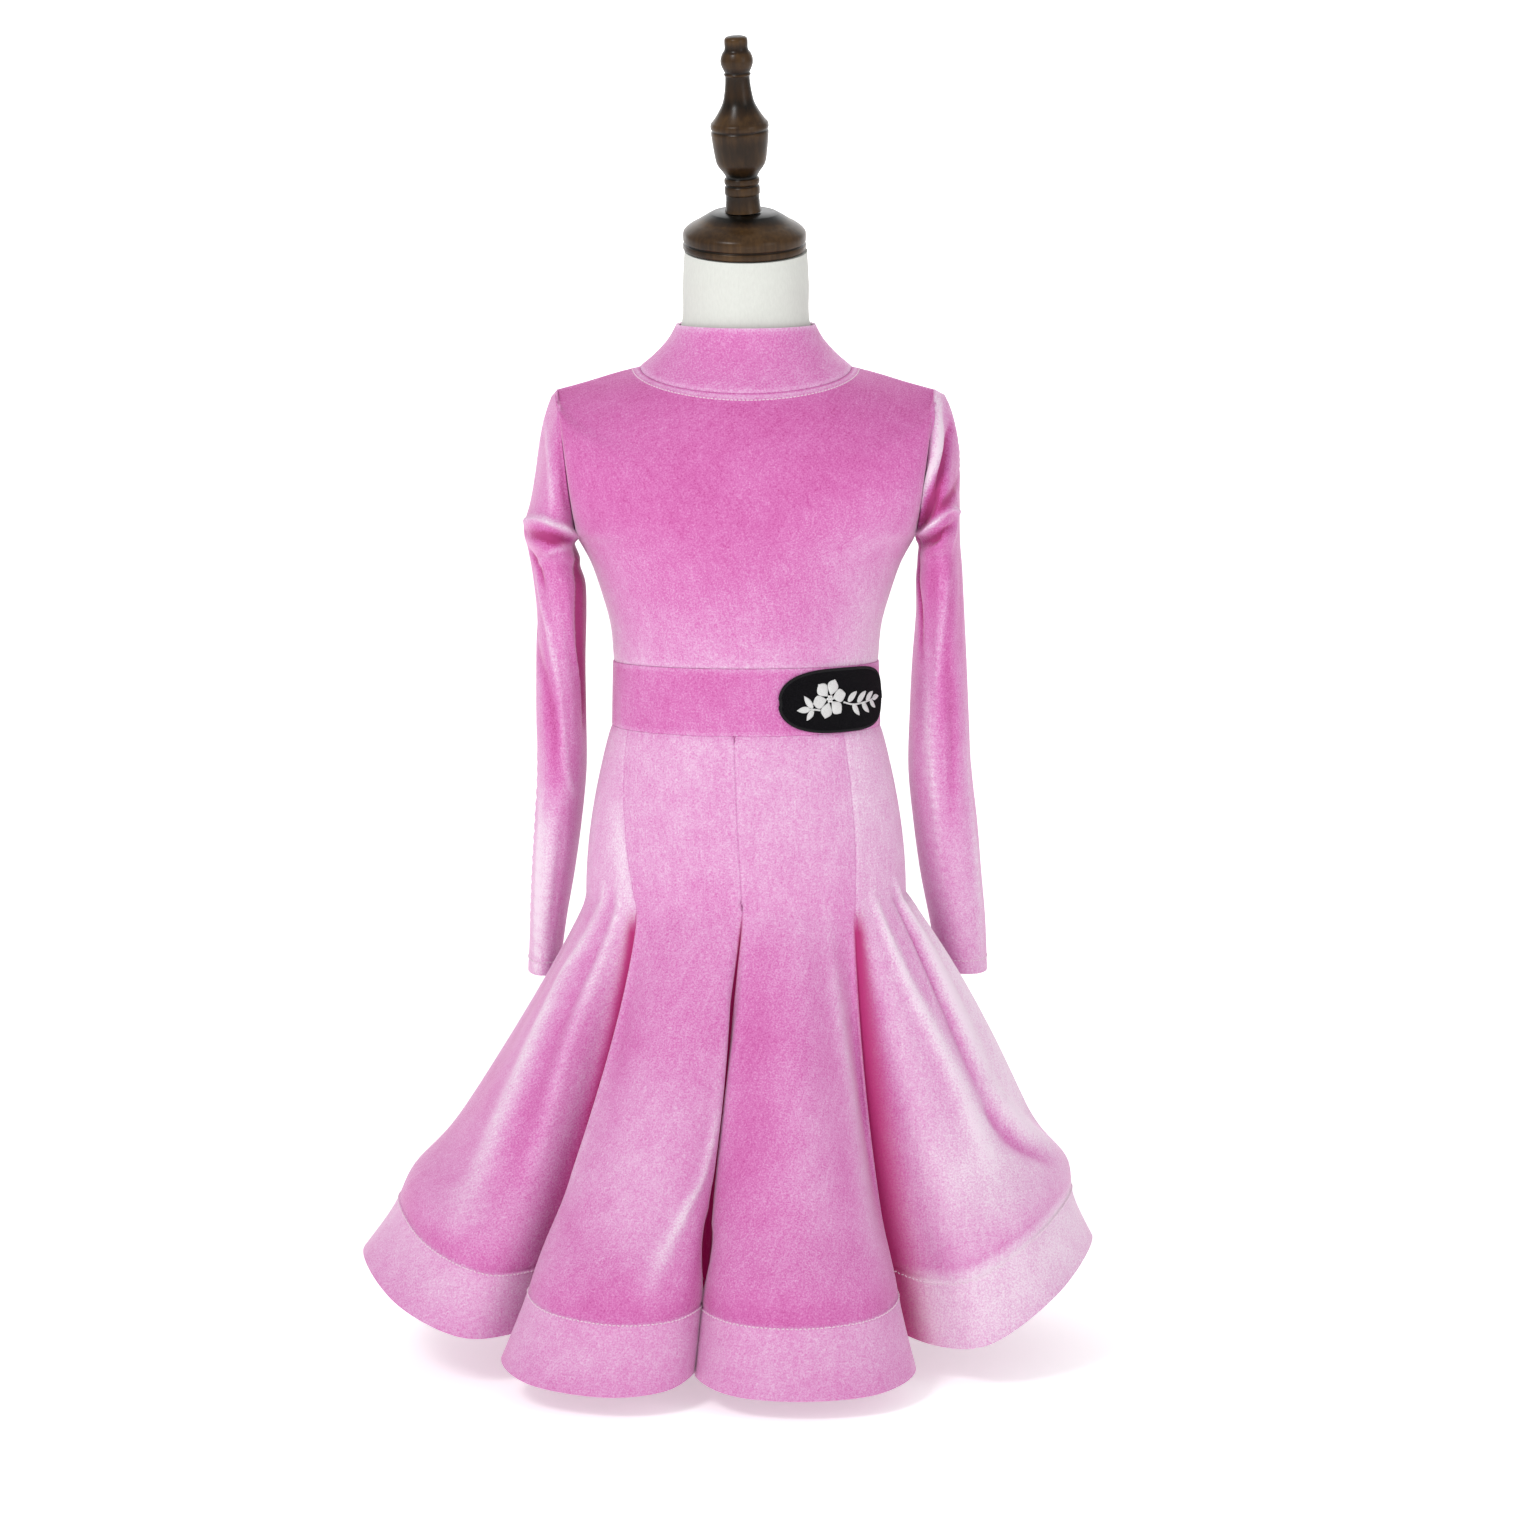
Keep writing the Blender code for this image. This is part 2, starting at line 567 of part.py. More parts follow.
def gore_grid(name, first, second, steps):
    lines = gore_lines(name, first, second)
    grid = []
    for share in HIP_LEVELS:
        row = [waist_to_hip_point(share, waist, hip) for waist, hip, hem, ease in lines]
        grid.append(smooth_row(row, steps))
    for flare in FLARE_LEVELS:
        row = []
        for waist, hip, hem, ease in lines:
            start = waist_to_hip_point(1.0, waist, hip)
            end = np.array(hem)
            out = flare ** ease
            row.append(np.array([start[0] + (end[0] - start[0]) * out,
                                 start[1] + (end[1] - start[1]) * out,
                                 start[2] + (end[2] - start[2]) * flare]))
        grid.append(smooth_row(row, steps))
    grid = np.array(grid)
    normals = grid_normals(grid, False)
    normals[:, :, 2] *= 0.3
    for index, flare in enumerate(FLARE_LEVELS):
        level = index + len(HIP_LEVELS)
        grid[level] += normals[level] * hem_profile(name, flare) * seam_fade(grid.shape[1])
    return grid


def seam_fade(columns):
    """0 at both seams of a gore, 1 over its middle."""
    shares = np.linspace(0, 1, columns)
    return np.clip(np.sin(shares * math.pi) * 1.8 - 0.8, 0, 1)[:, None]


def build_skirt():
    gap = SEAM_GAP / 2
    order = ["front_left", "front", "front_right", "back_right", "back", "back_left"]
    seams = {seam.name: seam for seam in SEAMS}
    names = ["skirt_front_left", "skirt_front_right", "skirt_side_right",
             "skirt_back_right", "skirt_back_left", "skirt_side_left"]
    levels = len(HIP_LEVELS) + len(FLARE_LEVELS)
    thickness = np.full(levels, CLOTH)
    thickness[FLARE_LEVELS.index(HEM_START) + len(HIP_LEVELS):] = HEM_CLOTH
    for index, name in enumerate(names):
        first = seams[order[index]]
        second = seams[order[(index + 1) % len(order)]]
        grid = gore_grid(name, first, second, FOLD_STEPS)
        inward = grid[:, 1] - grid[:, 0]
        grid[:, 0] += gap * inward / np.linalg.norm(inward, axis=1, keepdims=True)
        inward = grid[:, -2] - grid[:, -1]
        grid[:, -1] += gap * inward / np.linalg.norm(inward, axis=1, keepdims=True)
        cloth_wall(name, grid, thickness, velvet())


def build_form():
    """Smooth torso and neck of the form, a set clearance inside the cloth."""
    inset = FORM_CLEARANCE
    neck = NECK_RADIUS - 0.8
    finish = material("form_cloth", (0.82, 0.82, 0.80), 0.85)
    rise = neck * math.tan(NECK_SLANT)
    rings = [(neck, -neck, neck, NECK_TOP_Z, NECK_TOP_Z - rise, NECK_TOP_Z + rise),
             (45.0, -44.5, 44.5, 772.0, 772.0, 772.0),
             (45.6, -43.4, 43.0, 745.0, 745.0, 744.0),
             (54.0, -45.5, 44.0, 722.0, 714.0, 716.0)]
    for index, row in enumerate(BODICE_ROWS):
        drop = inset if index < SHOULDER_ROWS else 0.0
        rings.append((row.edge_x - inset, row.front_y + inset, row.back_y - inset,
                      row.edge_z - drop, row.front_z - drop, row.back_z - drop))
    for share in (0.5, 1.0):
        z = WAIST_TOP_Z + (WAIST_LOW_Z - WAIST_TOP_Z) * share
        rings.append((WAIST_HALF - inset, -WAIST_FRONT + inset, WAIST_BACK - inset, z, z, z))
    for share in (0.4, 0.75):
        side = waist_to_hip_point(share, 90.0, 90.0)
        front = waist_to_hip_point(share, 0.0, 0.0)
        back = waist_to_hip_point(share, 180.0, 180.0)
        hip_inset = inset + HIP_CLEARANCE
        rings.append((side[0] - hip_inset, front[1] + hip_inset, back[1] - hip_inset,
                      side[2], front[2], back[2]))
    half, front_y, back_y = rings[-1][:3]
    rings.append((half - FORM_LOW_ROUND, front_y + FORM_LOW_ROUND, back_y - FORM_LOW_ROUND)
                 + (FORM_LOW_Z,) * 3)
    columns = 24
    points = []
    faces = []
    for half, front_y, back_y, side_z, front_z, back_z in rings:
        for step in range(columns):
            turn = 2 * math.pi * step / columns
            front = math.cos(turn)
            depth, centre_z = (-front_y, front_z) if front > 0 else (back_y, back_z)
            points.append((half * math.sin(turn), -depth * front,
                           side_z + (centre_z - side_z) * abs(front)))
    for row in range(len(rings) - 1):
        for step in range(columns):
            following = (step + 1) % columns
            faces.append((row * columns + step, row * columns + following,
                          (row + 1) * columns + following, (row + 1) * columns + step))
    faces.append(tuple(range(columns)))
    faces.append(tuple((len(rings) - 1) * columns + step for step in range(columns)))
    new_object("form_torso", points, faces, finish)


def build_wood():
    """Neck cap and finial, square to the slanted top of the neck."""
    wood = material("dark_wood", (0.06, 0.022, 0.010), 0.3)
    slant = (Matrix.Translation((0.0, 0.0, NECK_TOP_Z * MM))
             @ Matrix.Rotation(NECK_SLANT, 4, "X")
             @ Matrix.Translation((0.0, 0.0, -NECK_TOP_Z * MM)))
    cap = turned("neck_cap", CAP_PROFILE, wood)
    cap.matrix_world = slant @ Matrix.Translation((CAP_X * MM, 0.0, 0.0))
    finial = turned("finial", FINIAL_PROFILE, wood, segments=20)
    foot = Matrix.Translation((FINIAL_X * MM, 0.0, (CAP_TOP_Z + FINIAL_GAP) * MM))
    finial.matrix_world = slant @ foot @ Matrix.Rotation(FINIAL_LEAN, 4, "Y")


def build_stand():
    steel = material("stand_steel", (0.55, 0.55, 0.56), 0.4, 1.0)
    turned("stand_base", [(BASE_RADIUS, 0.0), (BASE_RADIUS, BASE_THICKNESS - 2),
                          (BASE_RADIUS - 2, BASE_THICKNESS)], steel, segments=40)
    turned("stand_pole", [(POLE_RADIUS, BASE_THICKNESS + SEAM_GAP),
                          (POLE_RADIUS, FORM_LOW_Z - SEAM_GAP)], steel, segments=20)


def box_points(x0, x1, y0, y1, z0, z1):
    return [(x, y, z) for x in (x0, x1) for y in (y0, y1) for z in (z0, z1)]


def block(name, corners, finish):
    """A box from its corners as box_points gives them."""
    faces = [(0, 1, 3, 2), (4, 6, 7, 5), (0, 4, 5, 1), (2, 3, 7, 6), (0, 2, 6, 4), (1, 5, 7, 3)]
    return new_object(name, corners, faces, finish)


def union(target, tool):
    """Join a second closed shape to the first, then remove it."""
    joined = target.modifiers.new("join", "BOOLEAN")
    joined.operation = "UNION"
    joined.object = tool
    bpy.context.view_layer.objects.active = target
    bpy.ops.object.modifier_apply(modifier=joined.name)
    bpy.data.objects.remove(tool, do_unlink=True)


def build_zip():
    """Slider on the centre back seam with two lugs, and its pull tab on a barrel between them.

    The local frame has Y out of the cloth and Z up along it; the barrel's axis is X.
    """
    metal = material("zip_metal", (0.62, 0.60, 0.60), 0.35, 1.0)
    half = SLIDER_WIDTH / 2
    axis_y = BARREL_HEIGHT
    slider = block("zip_slider", box_points(-half, half, 0.0, SLIDER_PLATE,
                                            -SLIDER_LENGTH / 2, SLIDER_LENGTH / 2), metal)
    for side in (-1, 1):
        near = side * (BARREL_HALF + 0.3)
        far = near + side * LUG_THICKNESS
        lug = block("lug", box_points(min(near, far), max(near, far), SLIDER_PLATE - 0.4,
                                      axis_y + 1.2, -2.2, 2.2), metal)
        union(slider, lug)
    pull = block("zip_pull", box_points(-BARREL_HALF, BARREL_HALF, axis_y - TAB_THICKNESS / 2,
                                        axis_y + TAB_THICKNESS / 2, -TAB_LENGTH, 0.0), metal)
    barrel = turned("barrel", [(BARREL_RADIUS, -BARREL_HALF), (BARREL_RADIUS, BARREL_HALF)],
                    metal, segments=16)
    barrel.matrix_world = (Matrix.Translation((0, axis_y * MM, 0))
                           @ Matrix.Rotation(math.radians(90), 4, "Y"))
    union(pull, barrel)
    frame = (Matrix.Translation((0, ZIP_Y * MM, ZIP_Z * MM))
             @ Matrix.Rotation(ZIP_LEAN, 4, "X"))
    slider.matrix_world = frame
    pull.matrix_world = frame


def build():
    clear_scene()
    build_form()
    build_wood()
    build_stand()
    build_collar()
    build_bodice()
    build_sleeves()
    build_belt()
    build_patch()
    build_skirt()
    build_zip()


build()
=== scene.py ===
"""Looks of a child's latin dance dress in pink stretch velvet on a table-top dress form.

Lengths are in millimetres until a mesh is made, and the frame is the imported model's own.
"""
import json
import math
from collections import namedtuple

import bmesh
import bpy
import numpy as np
from mathutils import Matrix, Vector

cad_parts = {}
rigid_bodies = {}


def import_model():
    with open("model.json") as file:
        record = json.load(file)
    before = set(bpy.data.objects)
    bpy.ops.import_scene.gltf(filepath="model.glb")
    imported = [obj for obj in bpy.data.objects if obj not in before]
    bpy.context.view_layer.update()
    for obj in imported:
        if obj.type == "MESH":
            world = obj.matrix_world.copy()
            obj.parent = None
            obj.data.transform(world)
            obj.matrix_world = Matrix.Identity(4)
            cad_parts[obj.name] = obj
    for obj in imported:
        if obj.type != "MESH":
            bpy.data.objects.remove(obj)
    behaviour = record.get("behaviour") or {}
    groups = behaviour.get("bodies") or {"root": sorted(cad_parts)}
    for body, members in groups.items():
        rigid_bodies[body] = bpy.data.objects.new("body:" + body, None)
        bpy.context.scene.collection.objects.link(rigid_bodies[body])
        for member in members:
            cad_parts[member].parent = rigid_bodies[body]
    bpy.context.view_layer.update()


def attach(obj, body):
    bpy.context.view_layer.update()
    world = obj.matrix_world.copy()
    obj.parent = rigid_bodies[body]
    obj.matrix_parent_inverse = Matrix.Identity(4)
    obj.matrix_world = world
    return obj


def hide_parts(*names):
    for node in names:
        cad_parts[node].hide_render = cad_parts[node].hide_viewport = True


for left_over in list(bpy.data.objects):
    bpy.data.objects.remove(left_over)
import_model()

MM = 0.001
# The bodies that the pieces ride on
BODY = "dress_on_form"
TAB = "zip_tab"

# Thickness of the cloth's shells, and the gap between them, narrower than between the solids
# so that no dark line shows at a seam
CLOTH = 1.8
BELT_CLOTH = 2.2
HEM_CLOTH = 2.2
SEAM_GAP = 0.1

# Sizes of the bodice, collar, belt and skirt, the same as the solids have
ARMHOLE_GAP = 0.5
ARMHOLE_TOP_X = 134.0
ARMHOLE_LOW_X = 120.5
ARMHOLE_TOP_Z = 697.0
ARMHOLE_LOW_Z = 591.0
ARMHOLE_HALF_DEPTH = 40.0
COLLAR_TOP_Z = 743.5
COLLAR_TOP_HALF = 49.5
WAIST_TOP_Z = 502.0
WAIST_LOW_Z = 456.0
WAIST_HALF = 95.6
WAIST_FRONT = 76.5
WAIST_BACK = 70.0
BELT_PROUD = 0.8
FRONT_DIP = 1.5
BACK_DIP = 1.0
BELT_RISE_FRONT = 3.5
BELT_RISE_BACK = 2.0
SKIRT_EASE = 0.8
HIP_Z = 333.0
HIP_HALF = 115.5
HIP_FRONT = 88.0
HIP_BACK = 86.0
HEM_START = 0.85
ROLL_FLARE = 0.775
ROLL_SPREAD = 0.075
HEM_KICK = 5.0

# Sizes of the form, its stand, its turned wood, the badge and the zip
FORM_CLEARANCE = 3.6
HIP_CLEARANCE = 2.0
NECK_RADIUS = 44.5
NECK_TOP_Z = 795.5
NECK_SLANT = math.radians(9.0)
FORM_LOW_Z = 352.0
FORM_LOW_ROUND = 14.0
POLE_RADIUS = 12.5
BASE_RADIUS = 100.0
BASE_THICKNESS = 12.0
FINIAL_LEAN = math.radians(-2.4)
CAP_TOP_Z = 823.0
CAP_X = -0.9
FINIAL_X = -1.8
FINIAL_GAP = 0.5
PATCH_FROM_ANGLE = 14.0
PATCH_TO_ANGLE = 81.0
PATCH_HALF_HEIGHT = 22.0
PATCH_THICKNESS = 1.8
ZIP_Y = 48.75
ZIP_Z = 731.0
ZIP_LEAN = math.radians(8.0)
SLIDER_WIDTH = 9.0
SLIDER_LENGTH = 12.0
SLIDER_PLATE = 1.2
LUG_THICKNESS = 1.2
BARREL_RADIUS = 1.3
BARREL_HEIGHT = 3.0
BARREL_HALF = 1.9
TAB_LENGTH = 20.0
TAB_THICKNESS = 1.2
CAP_PROFILE = [(42.5, 796.0), (43.8, 797.5), (43.8, 800.5), (42.8, 801.8), (43.8, 803.5),
               (43.8, 808.5), (42.0, 811.5), (38.0, 814.5), (33.5, 817.0), (28.0, 820.5),
               (23.5, 823.0)]
FINIAL_PROFILE = [(13.0, 0.4), (12.4, 4.0), (11.9, 11.9), (12.5, 13.5), (12.5, 18.0),
                  (11.5, 19.5), (12.5, 21.0), (12.5, 24.0), (11.3, 25.5), (13.1, 28.9),
                  (15.5, 32.0), (17.6, 36.0), (18.9, 43.0), (19.8, 50.0), (20.5, 57.0),
                  (19.9, 59.0), (20.7, 61.0), (20.3, 64.0), (18.6, 66.0), (15.2, 71.0),
                  (11.5, 78.0), (9.9, 85.0), (9.0, 92.0), (8.8, 97.0), (9.6, 98.5),
                  (8.9, 100.0), (9.9, 102.0), (11.4, 106.0), (11.5, 109.5), (10.2, 113.5),
                  (8.4, 116.5), (8.3, 123.0), (6.8, 125.0), (3.5, 125.8)]

# How deep and how wide the ditch beside a seam is
DITCH_DEPTH = 0.3
DITCH_WIDTH = 2.2
# Painted highlight beside a seam: how much paler the cloth is painted there, and over what width
SEAM_HIGHLIGHT = 0.22
SEAM_HIGHLIGHT_WIDTH = 2.6
# In the seam itself: how far the inner face reaches past it, the bloom that is left, how much
# deeper the tone is painted there as painted shade, and over what width
SEAM_TUCK = 0.7
SEAM_BLOOM = 0.3
SEAM_SHADE = 0.10
SEAM_WIDTH = 0.8

# Rows of measures. A bodice row is its side edge and the middles of its front and back. A sleeve
# row is the edges that face the body and away from it. A seam has its angles from the front. An
# ease above 1 keeps the cloth in at the hip for longer.
BodiceRow = namedtuple("BodiceRow", "edge_x edge_y edge_z front_y front_z back_y back_z")
SleeveRow = namedtuple("SleeveRow", "inner_x inner_z outer_x outer_z middle_y half_depth")
Seam = namedtuple("Seam", "name waist_angle hip_angle hem_x hem_y hem_z ease")
Fold = namedtuple("Fold", "share hem_x hem_y hem_z ease")


def armhole_point(angle):
    """Point of the armhole oval: 0 at the shoulder, 180 degrees at the armpit."""
    turn = math.cos(math.radians(angle))
    half = (ARMHOLE_TOP_Z - ARMHOLE_LOW_Z) / 2
    x = (ARMHOLE_TOP_X + ARMHOLE_LOW_X) / 2 + (ARMHOLE_TOP_X - ARMHOLE_LOW_X) / 2 * turn
    y = ARMHOLE_HALF_DEPTH * math.sin(math.radians(angle))
    return x, y, ARMHOLE_LOW_Z + half + half * turn


def armhole_row(angle, front_y, front_z, back_y, back_z):
    """Row of the bodice whose side edge lies on the armhole."""
    x, y, z = armhole_point(angle)
    return BodiceRow(x, y, z, front_y, front_z, back_y, back_z)


BODICE_ROWS = [
    BodiceRow(75.5, 0.0, 713.5, -61.0, 699.0, 55.0, 706.0),
    BodiceRow(93.5, 0.0, 708.8, -68.0, 686.0, 61.0, 694.0),
    BodiceRow(114.5, 0.0, 702.4, -73.5, 672.0, 66.0, 680.0),
    armhole_row(0, -77.5, 658.0, 70.0, 664.0),
    armhole_row(35, -79.5, 645.0, 72.5, 649.0),
    armhole_row(70, -80.5, 631.0, 73.5, 634.0),
    armhole_row(110, -81.0, 616.0, 73.0, 618.0),
    armhole_row(148, -80.5, 602.0, 72.5, 603.0),
    armhole_row(180, -80.0, 589.0, 72.0, 590.0),
    BodiceRow(111.0, 0.0, 573.0, -79.5, 574.0, 71.5, 574.0),
    BodiceRow(103.4, 0.0, 551.0, -78.5, 552.0, 70.5, 552.0),
    BodiceRow(97.2, 0.0, 528.0, -77.5, 530.0, 69.8, 530.0),
    BodiceRow(WAIST_HALF - BELT_PROUD, 0.0, WAIST_TOP_Z + SEAM_GAP,
              -WAIST_FRONT + BELT_PROUD, WAIST_TOP_Z + BELT_RISE_FRONT + SEAM_GAP,
              WAIST_BACK - BELT_PROUD, WAIST_TOP_Z + BELT_RISE_BACK + SEAM_GAP),
]
# The row of the table where the shoulder meets the armhole
SHOULDER_ROW = 3
# How far the collar bows inward, by share from its top edge down
COLLAR_BOW = [(0.0, 0.0), (0.35, 3.2), (0.7, 2.8), (1.0, 0.0)]

SLEEVE_START = SleeveRow(ARMHOLE_LOW_X + ARMHOLE_GAP, ARMHOLE_LOW_Z,
                         ARMHOLE_TOP_X + ARMHOLE_GAP, ARMHOLE_TOP_Z, 0.0, ARMHOLE_HALF_DEPTH)
LEFT_SLEEVE_ROWS = [
    SLEEVE_START,
    SleeveRow(121.5, 588.5, 141.0, 675.0, 0.0, 42.0),
    SleeveRow(122.5, 585.5, 147.0, 646.0, 0.0, 43.0),
    SleeveRow(121.5, 582.0, 154.0, 617.0, 0.5, 43.0),
    SleeveRow(119.0, 576.0, 159.0, 597.0, 1.0, 44.0),
    SleeveRow(118.5, 569.0, 155.5, 582.0, 2.0, 37.5),
    SleeveRow(115.0, 557.0, 152.5, 563.0, 3.0, 39.5),
    SleeveRow(114.5, 536.0, 150.5, 536.0, 5.0, 38.5),
    SleeveRow(115.5, 500.0, 151.5, 500.0, 9.0, 38.0),
    SleeveRow(115.3, 460.0, 151.8, 460.0, 15.0, 37.0),
    SleeveRow(115.5, 420.0, 151.3, 420.0, 23.0, 35.5),
    SleeveRow(119.5, 380.0, 153.0, 380.0, 32.0, 34.0),
    SleeveRow(125.0, 342.0, 155.5, 342.0, 41.0, 32.5),
    SleeveRow(131.5, 305.0, 158.0, 305.0, 52.0, 31.0),
    SleeveRow(137.0, 265.0, 160.5, 265.0, 64.0, 30.0),
]
RIGHT_SLEEVE_ROWS = [
    SLEEVE_START,
    SleeveRow(121.8, 588.5, 142.0, 676.0, 0.0, 42.0),
    SleeveRow(123.0, 586.0, 149.0, 648.0, 0.0, 43.0),
    SleeveRow(123.5, 583.0, 152.6, 620.0, 0.5, 43.0),
    SleeveRow(123.0, 578.0, 153.0, 601.0, 1.0, 44.0),
    SleeveRow(122.6, 571.0, 153.6, 585.0, 2.0, 38.0),
    SleeveRow(121.8, 559.0, 155.5, 563.0, 3.0, 39.0),
    SleeveRow(122.0, 536.0, 157.0, 536.0, 5.0, 38.5),
    SleeveRow(119.5, 500.0, 159.0, 500.0, 9.0, 38.0),
    SleeveRow(118.0, 460.0, 161.0, 460.0, 15.0, 37.0),
    SleeveRow(117.5, 420.0, 163.3, 420.0, 23.0, 35.5),
    SleeveRow(121.5, 380.0, 168.0, 380.0, 32.0, 34.0),
    SleeveRow(126.8, 342.0, 171.5, 342.0, 41.0, 32.5),
    SleeveRow(134.0, 305.0, 175.0, 305.0, 50.0, 31.0),
    SleeveRow(141.0, 268.0, 177.0, 266.0, 60.0, 30.0),
]

SEAMS = [
    Seam("front_left", -61.0, -42.5, -113.0, -96.0, 44.0, 1.5),
    Seam("front", -5.0, -1.2, -37.0, -98.0, 30.0, 1.1),
    Seam("front_right", 46.0, 42.5, 88.0, -98.0, 42.0, 1.8),
    Seam("back_right", 122.0, 132.0, 100.0, 100.0, 44.0, 1.5),
    Seam("back", 180.0, 180.0, 6.0, 100.0, 32.0, 1.1),
    Seam("back_left", 238.0, 228.0, -104.0, 100.0, 44.0, 1.5),
]
GORE_NAMES = ["skirt_front_left", "skirt_front_right", "skirt_side_right",
              "skirt_back_right", "skirt_back_left", "skirt_side_left"]
GORE_FOLDS = {
    "skirt_front_left": [
        Fold(0.03, -152.0, -124.0, 36.0, 1.30),
        Fold(0.10, -172.0, -157.0, 28.0, 1.35),
        Fold(0.27, -152.0, -200.0, 21.0, 1.20),
        Fold(0.50, -100.0, -223.0, 17.5, 1.05),
        Fold(0.74, -57.0, -213.0, 18.5, 1.05),
        Fold(0.92, -38.0, -180.0, 23.0, 1.00),
        Fold(0.98, -42.0, -135.0, 26.0, 1.00),
    ],
    "skirt_front_right": [
        Fold(0.02, -31.0, -135.0, 25.0, 1.00),
        Fold(0.08, -33.0, -182.0, 20.0, 1.00),
        Fold(0.26, -9.0, -218.0, 17.0, 1.05),
        Fold(0.50, 40.0, -229.0, 16.0, 1.05),
        Fold(0.73, 92.0, -211.0, 16.5, 1.40),
        Fold(0.90, 119.0, -166.0, 20.0, 1.95),
        Fold(0.97, 110.0, -126.0, 30.0, 1.65),
    ],
    "skirt_side_right": [
        Fold(0.05, 134.0, -126.0, 29.0, 1.15),
        Fold(0.16, 174.0, -147.0, 36.0, 1.05),
        Fold(0.32, 221.0, -114.0, 63.0, 1.00),
        Fold(0.50, 250.0, -34.0, 82.0, 0.92),
        Fold(0.68, 243.0, 54.0, 70.0, 0.92),
        Fold(0.86, 190.0, 122.0, 50.0, 1.15),
        Fold(0.96, 130.0, 122.0, 44.0, 1.15),
    ],
    "skirt_back_right": [
        Fold(0.03, 134.0, 150.0, 38.0, 1.25),
        Fold(0.10, 142.0, 190.0, 28.0, 1.35),
        Fold(0.27, 106.0, 220.0, 20.0, 1.15),
        Fold(0.50, 62.0, 227.0, 17.0, 1.05),
        Fold(0.74, 26.0, 212.0, 20.0, 1.05),
        Fold(0.92, 8.0, 178.0, 24.0, 1.00),
        Fold(0.98, 9.0, 136.0, 28.0, 1.00),
    ],
    "skirt_back_left": [
        Fold(0.02, 1.0, 136.0, 28.0, 1.00),
        Fold(0.08, 0.0, 182.0, 22.0, 1.00),
        Fold(0.26, -22.0, 216.0, 18.0, 1.05),
        Fold(0.50, -70.0, 226.0, 16.0, 1.05),
        Fold(0.73, -118.0, 212.0, 20.0, 1.25),
        Fold(0.90, -142.0, 178.0, 30.0, 1.45),
        Fold(0.97, -130.0, 140.0, 38.0, 1.30),
    ],
    "skirt_side_left": [
        Fold(0.04, -136.0, 122.0, 45.0, 1.15),
        Fold(0.14, -196.0, 124.0, 52.0, 1.15),
        Fold(0.32, -258.0, 58.0, 66.0, 1.15),
        Fold(0.50, -277.0, -36.0, 76.0, 1.20),
        Fold(0.68, -248.0, -114.0, 56.0, 1.10),
        Fold(0.84, -198.0, -144.0, 39.0, 1.05),
        Fold(0.95, -150.0, -113.0, 38.0, 1.15),
    ],
}
# How far each gore rolls outward above its hem band
HEM_ROLL = {
    "skirt_front_left": 5.0,
    "skirt_front_right": 5.0,
    "skirt_side_right": 10.0,
    "skirt_back_right": 6.0,
    "skirt_back_left": 6.0,
    "skirt_side_left": 8.0,
}
